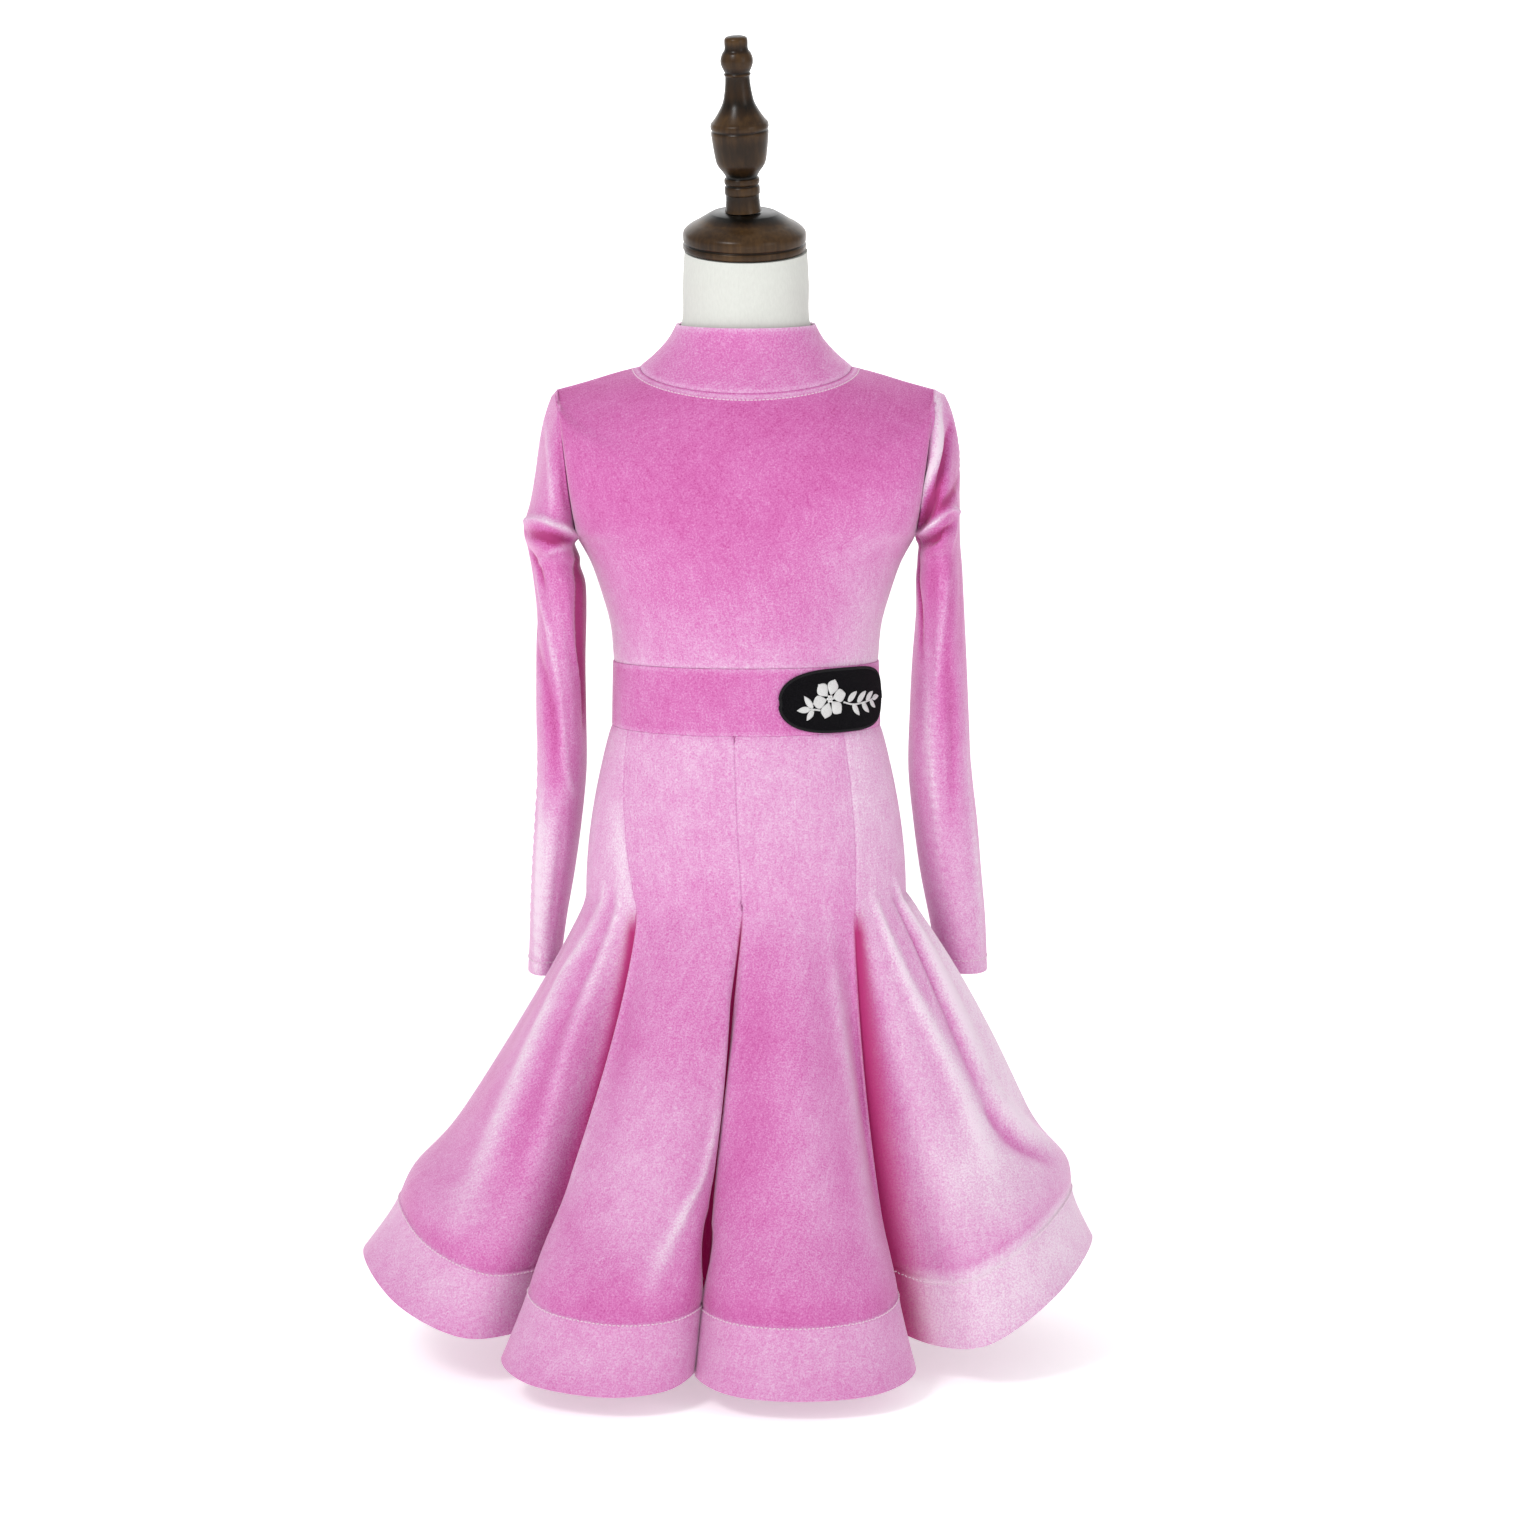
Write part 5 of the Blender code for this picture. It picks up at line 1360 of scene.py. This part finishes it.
def line_at(grid, away, ring=False):
    """The line at a distance below a grid's top edge, or above a ring's, with its outward side."""
    normals = grid_normals(grid, ring)
    if ring:
        grid, normals = grid[::-1], normals[::-1]
    reach = arc_lengths(grid, 0)
    path, outward = (np.array([point_at(away, reach[:, column], field[:, column])
                               for column in range(grid.shape[1])]) for field in (grid, normals))
    if ring:
        path, outward = (np.concatenate([field, field[:1]]) for field in (path, outward))
    return path, outward


def build_stitches(thread, cloths):
    """Topstitching: round the neckline, the cuffs and the top of the hem band."""
    for label, names in (("front", ["bodice_front"]),
                         ("back", ["bodice_back_left", "bodice_back_right"])):
        stitches("neck_stitch_" + label, [line_at(cloths[name], NECK_STITCH_AWAY) for name in names],
                 thread, length=2.1, gap=0.7, radius=0.42)
    for side in ("left", "right"):
        stitches("cuff_stitch_" + side, [line_at(cloths["sleeve_" + side], CUFF_STITCH_AWAY, True)],
                 thread, length=2.2, gap=0.8, radius=0.40)
    for name in GORE_NAMES:
        grid, flares = cloths[name]
        row = np.abs(flares - (HEM_START + 2 * HEM_STEP)).argmin()
        stitches(name.replace("skirt", "hem_stitch"), [(grid[row], grid_normals(grid)[row])],
                 thread, length=1.9, gap=1.1, radius=0.50, slant=0.5)


# Badge: points over its face, its ends' shape, its rim, and its leaves, stems and knots
BADGE_ROWS = 25
BADGE_COLUMNS = 97
BADGE_EDGE = 0.6
BADGE_FULLNESS = 3.2
BADGE_ROUNDNESS = 0.42
BADGE_REACH = 0.99
RIM_RADIUS = 1.15
RIM_SINK = 0.7
RIM_STEP = 0.15
LEAF_ROWS = 15
LEAF_COLUMNS = 9
LEAF_LEAST = 0.12
LEAF_BOW = 0.06
LEAF_EDGE = 0.15
LEAF_DOME = 0.75
STEM_RADIUS = 0.65
KNOT_RADIUS = 0.95
KNOT_RING = 1.9
FLOWER_CENTRE = np.array([-13.0, 1.5])
PETAL_START = 3.2
PETAL_END = 14.2
PETAL_WIDTH = 9.0
PETAL_BLUNT = 1.35
LEAF_BLUNT = 0.85
# Leaves by start, end and width, in millimetres along the badge and up from its middle
LEAVES = [
    ((3.5, -1.0), (12.0, 5.5), 4.6),
    ((8.0, -3.5), (14.5, -12.0), 4.6),
    ((13.0, -2.2), (22.5, 5.0), 4.8),
    ((18.0, -3.2), (26.0, -11.0), 4.6),
    ((23.0, -1.8), (32.0, 4.0), 4.4),
    ((28.0, -2.2), (35.5, -8.5), 4.0),
    ((32.0, -1.2), (42.0, -0.4), 4.0),
    ((-27.0, -4.0), (-33.5, 4.5), 4.2),
    ((-29.0, -5.0), (-39.0, -5.6), 4.2),
    ((-26.5, -6.0), (-31.5, -12.8), 4.0),
]
# Each stem's points in the same measure, and how many points its thread gets
STEMS = [
    ([(-1.0, -1.5), (8.0, -3.6), (18.0, -3.2), (27.0, -2.2), (33.0, -1.2)], 60),
    ([(-21.0, -6.0), (-25.0, -5.4), (-30.0, -5.0)], 24),
]


def rays(count, start=0.0):
    """Directions evenly round a circle, from a start in degrees."""
    turns = [math.radians(start + 360 * step / count) for step in range(count)]
    return [np.array([math.cos(turn), math.sin(turn)]) for turn in turns]


def badge_scale():
    """Angles on the belt, and how far along the badge from its middle each of them lies."""
    angles = np.linspace(PATCH_FROM_ANGLE, PATCH_TO_ANGLE, 121)
    run = path_frames(np.array([belt_point(angle, 0.5, PATCH_THICKNESS) for angle in angles]))[0]
    return angles, run - run[-1] / 2


BADGE_ANGLES, BADGE_RUN = badge_scale()


def patch_point(place, proud):
    """Point over the badge, by its place along and up from the middle and above the face."""
    angle = float(np.interp(place[0], BADGE_RUN, BADGE_ANGLES))
    share = 0.5 - place[1] / (WAIST_TOP_Z - WAIST_LOW_Z)
    return belt_point(angle, share, SEAM_GAP + PATCH_THICKNESS + proud)


def badge_grid():
    """Face of the badge: an oblong with full, round ends that follows the belt."""
    middle = (PATCH_FROM_ANGLE + PATCH_TO_ANGLE) / 2
    reach = (PATCH_TO_ANGLE - PATCH_FROM_ANGLE) / 2 * BADGE_REACH
    half = (PATCH_HALF_HEIGHT - BADGE_EDGE) / (WAIST_TOP_Z - WAIST_LOW_Z)
    grid = []
    for across in np.linspace(-1, 1, BADGE_ROWS):
        row = []
        for along in -np.cos(np.linspace(0, math.pi, BADGE_COLUMNS)):
            edge = (1 - 0.995 * abs(along) ** BADGE_FULLNESS) ** BADGE_ROUNDNESS
            row.append(belt_point(middle + along * reach, 0.5 + across * edge * half,
                                  SEAM_GAP + PATCH_THICKNESS))
        grid.append(row)
    return np.array(grid)


def border(field):
    """The values of a grid all the way round its edge."""
    return np.concatenate([field[0], field[1:-1, -1], field[-1, ::-1], field[-2:0:-1, 0]])


def build_plate(felt, edging):
    """The badge's felt and its overlocked rim."""
    grid = badge_grid()
    normals = grid_normals(grid)
    inner = grid - normals * (PATCH_THICKNESS - 0.1)
    points = np.concatenate([grid.reshape(-1, 3), inner.reshape(-1, 3)])
    plate = mesh_object("badge_felt", points, wall_faces(BADGE_ROWS, BADGE_COLUMNS, False), felt)
    finished(plate, "patch", "belt_patch")
    loop, away = border(grid), border(normals)
    keep = np.linalg.norm(loop - np.roll(loop, 1, axis=0), axis=1) > RIM_STEP
    loop, away = loop[keep], away[keep]
    rim = tube("badge_rim", loop - away * RIM_SINK, away, RIM_RADIUS, edging, 12, closed=True)
    finished(rim, "patch")


def leaf_points(start, end, width, blunt):
    """Points and faces of a domed petal or leaf, and how far along it each point lies."""
    start, end = np.array(start), np.array(end)
    length = np.linalg.norm(end - start)
    ahead = (end - start) / length
    side = np.array([-ahead[1], ahead[0]])
    points = []
    lengths = []
    for place in np.linspace(0, 1, LEAF_ROWS):
        half = LEAF_LEAST + width / 2 * math.sin(math.pi * place ** blunt) ** 0.75
        for across in np.linspace(-1, 1, LEAF_COLUMNS):
            run = length * (place - LEAF_BOW * across ** 2)
            rise = LEAF_DOME * (1 - across ** 2) ** 0.6 * min(1.0, 4 * half / width)
            points.append(patch_point(start + ahead * run + side * half * across,
                                      LEAF_EDGE + rise))
            lengths.append(place * length)
    corners = (0, 1, LEAF_COLUMNS + 1, LEAF_COLUMNS)
    faces = [[row * LEAF_COLUMNS + column + corner for corner in corners]
             for row in range(LEAF_ROWS - 1) for column in range(LEAF_COLUMNS - 1)]
    return points, faces, lengths


def build_spray(thread):
    """The flower's petals and the leaves, in satin stitch, as one piece."""
    shapes = [(FLOWER_CENTRE + ray * PETAL_START, FLOWER_CENTRE + ray * PETAL_END, PETAL_WIDTH,
               PETAL_BLUNT) for ray in rays(6, 12.0)]
    shapes += [(*leaf, LEAF_BLUNT) for leaf in LEAVES]
    points = []
    faces = []
    lengths = []
    for shape in shapes:
        base = len(points)
        new_points, new_faces, new_lengths = leaf_points(*shape)
        points += new_points
        lengths += new_lengths
        faces += [[base + corner for corner in face] for face in new_faces]
    flower = mesh_object("badge_flower", points, faces, thread)
    paint(flower, "along", np.array(lengths) * MM)
    finished(flower, "patch")


def build_stems(thread):
    """Two stems that the leaves grow from."""
    for number, (places, count) in enumerate(STEMS, 1):
        line = resampled(places, count)
        path, higher = (np.array([patch_point(place, proud) for place in line])
                        for proud in (0.25, 1.25))
        stem = tube("badge_stem_%d" % number, path, higher - path, STEM_RADIUS, thread)
        finished(stem, "patch")


def build_knots(thread):
    """A knot in the flower's middle and a ring of knots round it."""
    body = bmesh.new()
    for offset in [np.zeros(2)] + [KNOT_RING * ray for ray in rays(6)]:
        where = Vector(patch_point(FLOWER_CENTRE + offset, 0.5)) * MM
        made = bmesh.ops.create_icosphere(body, subdivisions=2, radius=KNOT_RADIUS * MM)
        bmesh.ops.translate(body, verts=made["verts"], vec=where)
    finished(from_bmesh("badge_knots", body, thread), "patch")


def build_badge(felt, edging, thread):
    """Black felt badge with an overlocked rim and a flower and leaf spray in satin stitch."""
    build_plate(felt, edging)
    build_spray(thread)
    build_stems(thread)
    build_knots(thread)


# Zip: rounding of its edges, and how its lugs sit beside the barrel and on the plate
SLIDER_ROUND = 0.45
ZIP_ROUND = 0.4
LUG_CLEARANCE = 0.3
LUG_HALF_LENGTH = 2.2
LUG_RISE = 1.2


def rounded_block(body, low, high, radius):
    """Add a box with rounded edges to a mesh being built; corners in millimetres."""
    made = bmesh.ops.create_cube(body, size=1.0)["verts"]
    for vert in made:
        for axis in range(3):
            vert.co[axis] = (low[axis] if vert.co[axis] < 0 else high[axis]) * MM
    edges = {edge for vert in made for edge in vert.link_edges}
    bmesh.ops.bevel(body, geom=list(edges), offset=radius * MM, segments=3, profile=0.5,
                    affect="EDGES")


def build_zip(metal):
    """Slider with its two lugs, and the pull tab on its barrel."""
    half = SLIDER_WIDTH / 2
    end = SLIDER_LENGTH / 2
    body = bmesh.new()
    rounded_block(body, (-half, 0.0, -end), (half, SLIDER_PLATE, end), SLIDER_ROUND)
    near = BARREL_HALF + LUG_CLEARANCE
    for left in (-near - LUG_THICKNESS, near):
        rounded_block(body, (left, SLIDER_PLATE - ZIP_ROUND, -LUG_HALF_LENGTH),
                      (left + LUG_THICKNESS, BARREL_HEIGHT + LUG_RISE, LUG_HALF_LENGTH), ZIP_ROUND)
    slider = from_bmesh("zip_slider_body", body, metal)
    body = bmesh.new()
    rounded_block(body, (-BARREL_HALF, BARREL_HEIGHT - TAB_THICKNESS / 2, -TAB_LENGTH),
                  (BARREL_HALF, BARREL_HEIGHT + TAB_THICKNESS / 2, 0.0), ZIP_ROUND)
    made = bmesh.ops.create_cone(body, cap_ends=True, segments=32, radius1=BARREL_RADIUS * MM,
                                 radius2=BARREL_RADIUS * MM, depth=2 * BARREL_HALF * MM)
    for vert in made["verts"]:
        x, y, z = vert.co
        vert.co = (z, y + BARREL_HEIGHT * MM, x)
    pull = from_bmesh("zip_pull_tab", body, metal)
    for piece in (slider, pull):
        piece.location = (0.0, ZIP_Y * MM, ZIP_Z * MM)
        piece.rotation_euler = (ZIP_LEAN, 0.0, 0.0)
    finished(slider, "zip_metal", "zip_slider")
    finished(pull, "zip_metal", "zip_pull", body=TAB)


# Camera, lights and studio, in metres
CAMERA_DISTANCE = 4.0
CAMERA_PITCH = math.radians(8.5)
CAMERA_AIM = Vector((0.0097, 0.0, 0.432))
CAMERA_LENS = 131.67
LIGHT_AIM = Vector((0, 0, 0.45))
KEY_POWER = 47
FILL_POWER = 12
WORLD_STRENGTH = 0.6
STAGE_HALF = 9.0
FLOOR_GLOW = 0.43
BACKDROP_GLOW = 1.0
STAGE_PALE = (0.96, 0.96, 0.96, 1.0)
WHITE = (1.0, 1.0, 1.0, 1.0)


def aimed(name, data, where, aim):
    """Put a camera or a light in the scene, turned to the place that it looks at."""
    made = bpy.data.objects.new(name, data)
    made.location = where
    made.rotation_euler = (aim - made.location).to_track_quat("-Z", "Y").to_euler()
    bpy.context.scene.collection.objects.link(made)
    return made


def set_camera():
    """The photograph's view: far off, looking a little down on the dress."""
    data = bpy.data.cameras.new("camera")
    data.sensor_width = 36.0
    data.lens = CAMERA_LENS
    away = Vector((0, -math.cos(CAMERA_PITCH), math.sin(CAMERA_PITCH))) * CAMERA_DISTANCE
    bpy.context.scene.camera = aimed("camera", data, CAMERA_AIM + away, CAMERA_AIM)


def add_light(name, where, size, power):
    """A rectangular lamp turned to the dress."""
    data = bpy.data.lights.new(name, "AREA")
    data.shape = "RECTANGLE"
    data.size, data.size_y = size
    data.energy = power
    aimed(name, data, where, LIGHT_AIM)


def stage_sheet(name, where, turn, glow):
    """A large pale sheet of the studio, lit a little from inside so that it stays even."""
    nodes = Nodes(name + "_pale")
    nodes.fixed(Base_Color=STAGE_PALE, Roughness=1.0, Specular_IOR_Level=0.0,
                Emission_Color=WHITE, Emission_Strength=glow)
    body = bmesh.new()
    bmesh.ops.create_grid(body, x_segments=1, y_segments=1, size=STAGE_HALF)
    sheet = from_bmesh(name, body, nodes.material)
    sheet.location = where
    sheet.rotation_euler = turn
    return sheet


def set_stage():
    """Plain colours, a white sky, two lamps, a floor and a backdrop."""
    scene = bpy.context.scene
    scene.view_settings.view_transform = "Standard"
    world = bpy.data.worlds.new("studio")
    world.use_nodes = True
    sky = world.node_tree.nodes["Background"]
    sky.inputs["Color"].default_value = WHITE
    sky.inputs["Strength"].default_value = WORLD_STRENGTH
    scene.world = world
    add_light("key", (-1.5, -2.4, 2.6), (0.9, 0.9), KEY_POWER)
    add_light("fill", (2.4, -2.2, 1.3), (1.2, 1.6), FILL_POWER)
    floor = stage_sheet("floor", (0, 0, 0), (0, 0, 0), FLOOR_GLOW)
    wall = stage_sheet("backdrop", (0, STAGE_HALF, 0), (math.radians(90), 0, 0), BACKDROP_GLOW)


class Nodes:
    """Short ways to add and join shader nodes of one material."""

    def __init__(self, name):
        self.material = bpy.data.materials.new(name)
        self.material.use_nodes = True
        self.tree = self.material.node_tree
        self.shader = self.tree.nodes["Principled BSDF"]

    def add(self, kind, **settings):
        """A new node with its settings."""
        node = self.tree.nodes.new(kind)
        for key, value in settings.items():
            setattr(node, key, value)
        return node

    def join(self, value, socket):
        """Link an output to a socket, or set the socket to a number."""
        if isinstance(value, (int, float)):
            socket.default_value = value
        else:
            self.tree.links.new(value, socket)

    def shade(self, **sources):
        """Link outputs to the shader's sockets."""
        for key, source in sources.items():
            self.join(source, self.shader.inputs[key.replace("_", " ")])

    def fixed(self, **values):
        """Set the shader's sockets to constants."""
        for key, value in values.items():
            self.shader.inputs[key.replace("_", " ")].default_value = value

    def painted(self, label):
        """A value painted on the piece's points."""
        return self.add("ShaderNodeAttribute", attribute_name=label).outputs["Fac"]

    def place(self, stretch=None):
        """The place on the piece, stretched along its axes where asked."""
        where = self.add("ShaderNodeTexCoord").outputs["Object"]
        if stretch is None:
            return where
        mapping = self.add("ShaderNodeMapping")
        mapping.inputs["Scale"].default_value = stretch
        self.join(where, mapping.inputs["Vector"])
        return mapping.outputs["Vector"]

    def noise(self, vector, scale, detail, roughness):
        """Noise over a place, with so many marks to a unit."""
        node = self.add("ShaderNodeTexNoise")
        node.inputs["Scale"].default_value = scale
        node.inputs["Detail"].default_value = detail
        node.inputs["Roughness"].default_value = roughness
        self.join(vector, node.inputs["Vector"])
        return node.outputs["Fac"]

    def cloth_noise(self, across, along, detail, roughness):
        """Noise that follows the cloth, with so many marks to a metre each way."""
        run = self.add("ShaderNodeCombineXYZ")
        self.join(self.math("MULTIPLY", self.painted("across"), across), run.inputs["X"])
        self.join(self.math("MULTIPLY", self.painted("along"), along), run.inputs["Y"])
        return self.noise(run.outputs["Vector"], 1.0, detail, roughness)

    def math(self, operation, *values):
        """The outcome of an operation on outputs or numbers."""
        node = self.add("ShaderNodeMath", operation=operation)
        for socket, value in zip(node.inputs, values):
            self.join(value, socket)
        return node.outputs[0]

    def ramp(self, factor, stops):
        """Colours by place along a ramp."""
        node = self.add("ShaderNodeValToRGB")
        elements = node.color_ramp.elements
        while len(elements) < len(stops):
            elements.new(0.5)
        for element, (place, colour) in zip(elements, stops):
            element.position = place
            element.color = (*colour, 1.0)
        self.join(factor, node.inputs["Fac"])
        return node.outputs["Color"]

    def tinted(self, factor, colour, tint):
        """A colour carried over to a fixed tint."""
        node = self.add("ShaderNodeMix", data_type="RGBA")
        self.join(factor, node.inputs[0])
        self.join(colour, node.inputs[6])
        node.inputs[7].default_value = (*tint, 1.0)
        return node.outputs[2]

    def bump(self, height, strength, distance):
        """Raise the surface by a height, up to a distance in metres."""
        node = self.add("ShaderNodeBump")
        node.inputs["Strength"].default_value = strength
        node.inputs["Distance"].default_value = distance
        self.join(height, node.inputs["Height"])
        self.shade(Normal=node.outputs["Normal"])


# The velvet's colours by how pale it is painted (its nap with painted highlights, sheen and shade),
# and its painted shade colour deep inside a pleat
VELVET_COLOURS = [
    (0.0, (0.42, 0.052, 0.205)),
    (0.2, (0.55, 0.105, 0.355)),
    (0.42, (0.62, 0.185, 0.455)),
    (0.62, (0.68, 0.315, 0.565)),
    (0.82, (0.74, 0.475, 0.665)),
    (1.0, (0.82, 0.67, 0.78)),
]
PLEAT_SHADE_COLOUR = (0.38, 0.030, 0.15)


def velvet_material():
    """Short shiny pile: its painted nap and painted light set the tone, clouds and fine streaks vary
    it, and deep in a pleat it is painted darker red with a painted glow.
    """
    nodes = Nodes("pink_velvet")
    where = nodes.place()
    inside = nodes.painted("fold")
    streaks = nodes.cloth_noise(420.0, 60.0, 3.0, 0.7)
    ribs = nodes.cloth_noise(240.0, 900.0, 2.0, 0.7)
    bands = nodes.cloth_noise(130.0, 16.0, 2.0, 0.6)
    clouds = nodes.noise(where, 20.0, 3.0, 0.55)
    patches = nodes.noise(where, 75.0, 3.0, 0.65)
    speckle = nodes.noise(where, 850.0, 3.0, 0.75)
    marks = [(clouds, 0.24), (patches, 0.20), (bands, 0.12), (streaks, 0.24), (ribs, 0.20),
             (speckle, 1.20)]
    tone = nodes.painted("nap_and_shading")
    for mark, amount in marks:
        tone = nodes.math("MULTIPLY_ADD", mark, amount, tone)
    tone = nodes.math("SUBTRACT", tone, sum(amount for mark, amount in marks) / 2)
    colour = nodes.ramp(tone, VELVET_COLOURS)
    # Inside a pleat the colour is carried to a darker red as painted shade, and the emission there is
    # a painted glow
    nodes.shade(Base_Color=nodes.tinted(inside, colour, PLEAT_SHADE_COLOUR),
                Sheen_Weight=nodes.math("MULTIPLY", nodes.painted("bloom"), 0.85),
                Emission_Strength=nodes.math("MULTIPLY", inside, 0.13))
    nodes.fixed(Roughness=0.7, Sheen_Roughness=0.36, Sheen_Tint=(1.0, 0.80, 0.92, 1.0),
                Specular_IOR_Level=0.15, Emission_Color=(0.55, 0.01, 0.17, 1.0))
    nodes.bump(nodes.math("MULTIPLY_ADD", streaks, 0.6, speckle), 0.5, 0.0008)
    return nodes.material


def wood_material():
    """Dark stained turned wood with long grain under a gloss lacquer."""
    nodes = Nodes("dark_wood_lacquer")
    grain = nodes.noise(nodes.place((260.0, 260.0, 26.0)), 1.0, 5.0, 0.65)
    broad = nodes.noise(nodes.place(), 28.0, 3.0, 0.5)
    tone = nodes.math("MULTIPLY_ADD", grain, 0.45, nodes.math("MULTIPLY", broad, 0.75))
    # Painted shade darkens the grooves and a painted highlight lightens the ridges
    tone = nodes.math("MULTIPLY_ADD", nodes.painted("groove_shading"), -0.6, tone)
    tone = nodes.math("SUBTRACT", tone, 0.1)
    nodes.shade(Base_Color=nodes.ramp(tone, [(0.2, (0.003, 0.002, 0.001)),
                                             (0.5, (0.027, 0.013, 0.005)),
                                             (0.8, (0.085, 0.043, 0.014))]))
    nodes.fixed(Roughness=0.30, Coat_Weight=0.03, Coat_Roughness=0.10, Specular_IOR_Level=0.20)
    nodes.bump(grain, 0.12, 0.0004)
    return nodes.material


def jersey_material():
    """Off-white taut jersey: fine upright ribs and a little soiling."""
    nodes = Nodes("form_jersey")
    knit = nodes.noise(nodes.place((900.0, 900.0, 260.0)), 1.0, 2.0, 0.6)
    cloud = nodes.noise(nodes.place(), 18.0, 3.0, 0.5)
    tone = nodes.math("MULTIPLY_ADD", knit, 0.5, nodes.math("MULTIPLY", cloud, 0.5))
    nodes.shade(Base_Color=nodes.ramp(tone, [(0.3, (0.60, 0.61, 0.57)),
                                             (0.7, (0.68, 0.695, 0.65))]))
    nodes.fixed(Roughness=0.9, Sheen_Weight=0.1, Sheen_Roughness=0.5, Specular_IOR_Level=0.2)
    nodes.bump(knit, 0.3, 0.0004)
    return nodes.material


def felt_material():
    """Black felt: matted fibres with a faint grey bloom."""
    nodes = Nodes("black_felt")
    fibres = nodes.noise(nodes.place(), 1300.0, 4.0, 0.7)
    nodes.shade(Base_Color=nodes.ramp(fibres, [(0.3, (0.001, 0.001, 0.0015)),
                                               (0.75, (0.011, 0.010, 0.012))]))
    nodes.fixed(Roughness=1.0, Sheen_Weight=0.02, Sheen_Roughness=0.6, Specular_IOR_Level=0.02)
    nodes.bump(fibres, 0.8, 0.0006)
    return nodes.material


def thread_material(name, colour, turns, roughness, sheen):
    """Stitched thread: fine ridges along its run, so many to a millimetre, painted darker between
    them as painted shade.
    """
    nodes = Nodes(name)
    run = nodes.math("MULTIPLY", nodes.painted("along"), turns * 2 * math.pi / MM)
    wave = nodes.math("SINE", run)
    fuzz = nodes.noise(nodes.place(), 1600.0, 2.0, 0.6)
    # Painted shade in the grooves between the ridges
    dark = tuple(channel * 0.72 for channel in colour)
    tone = nodes.math("MULTIPLY_ADD", wave, 0.25, fuzz)
    nodes.shade(Base_Color=nodes.ramp(tone, [(0.2, dark), (0.6, colour)]))
    nodes.fixed(Roughness=roughness, Sheen_Weight=sheen, Sheen_Roughness=0.4,
                Specular_IOR_Level=0.3)
    nodes.bump(nodes.math("MULTIPLY_ADD", wave, 0.5, fuzz), 0.6, 0.0005)
    return nodes.material


def metal_material(name, colour, roughness):
    """Satin metal with a faint uneven polish."""
    nodes = Nodes(name)
    wear = nodes.noise(nodes.place(), 240.0, 4.0, 0.6)
    dull = tuple(channel * 0.82 for channel in colour)
    nodes.shade(Base_Color=nodes.ramp(wear, [(0.3, dull), (0.7, colour)]),
                Roughness=nodes.math("MULTIPLY_ADD", wear, 0.15, roughness - 0.07))
    nodes.fixed(Metallic=1.0)
    return nodes.material


def main():
    """Dress the form, piece by piece."""
    velvet = velvet_material()
    set_camera()
    set_stage()
    cloths = build_bodice(velvet)
    build_collar(velvet)
    cloths.update(build_sleeves(velvet))
    build_belt(velvet)
    cloths.update(build_skirt(velvet))
    build_stitches(thread_material("pink_thread", (0.86, 0.66, 0.78), turns=0.8, roughness=0.6,
                                   sheen=0.3), cloths)
    build_wood(wood_material())
    build_form(jersey_material())
    build_stand(metal_material("satin_steel", (0.55, 0.55, 0.56), roughness=0.38))
    black = thread_material("black_thread", (0.006, 0.006, 0.007), turns=0.9, roughness=0.9,
                            sheen=0.02)
    white = thread_material("white_thread", (0.80, 0.80, 0.79), turns=1.6, roughness=0.45,
                            sheen=0.3)
    build_badge(felt_material(), black, white)
    build_zip(metal_material("zip_nickel", (0.62, 0.60, 0.60), roughness=0.32))


main()
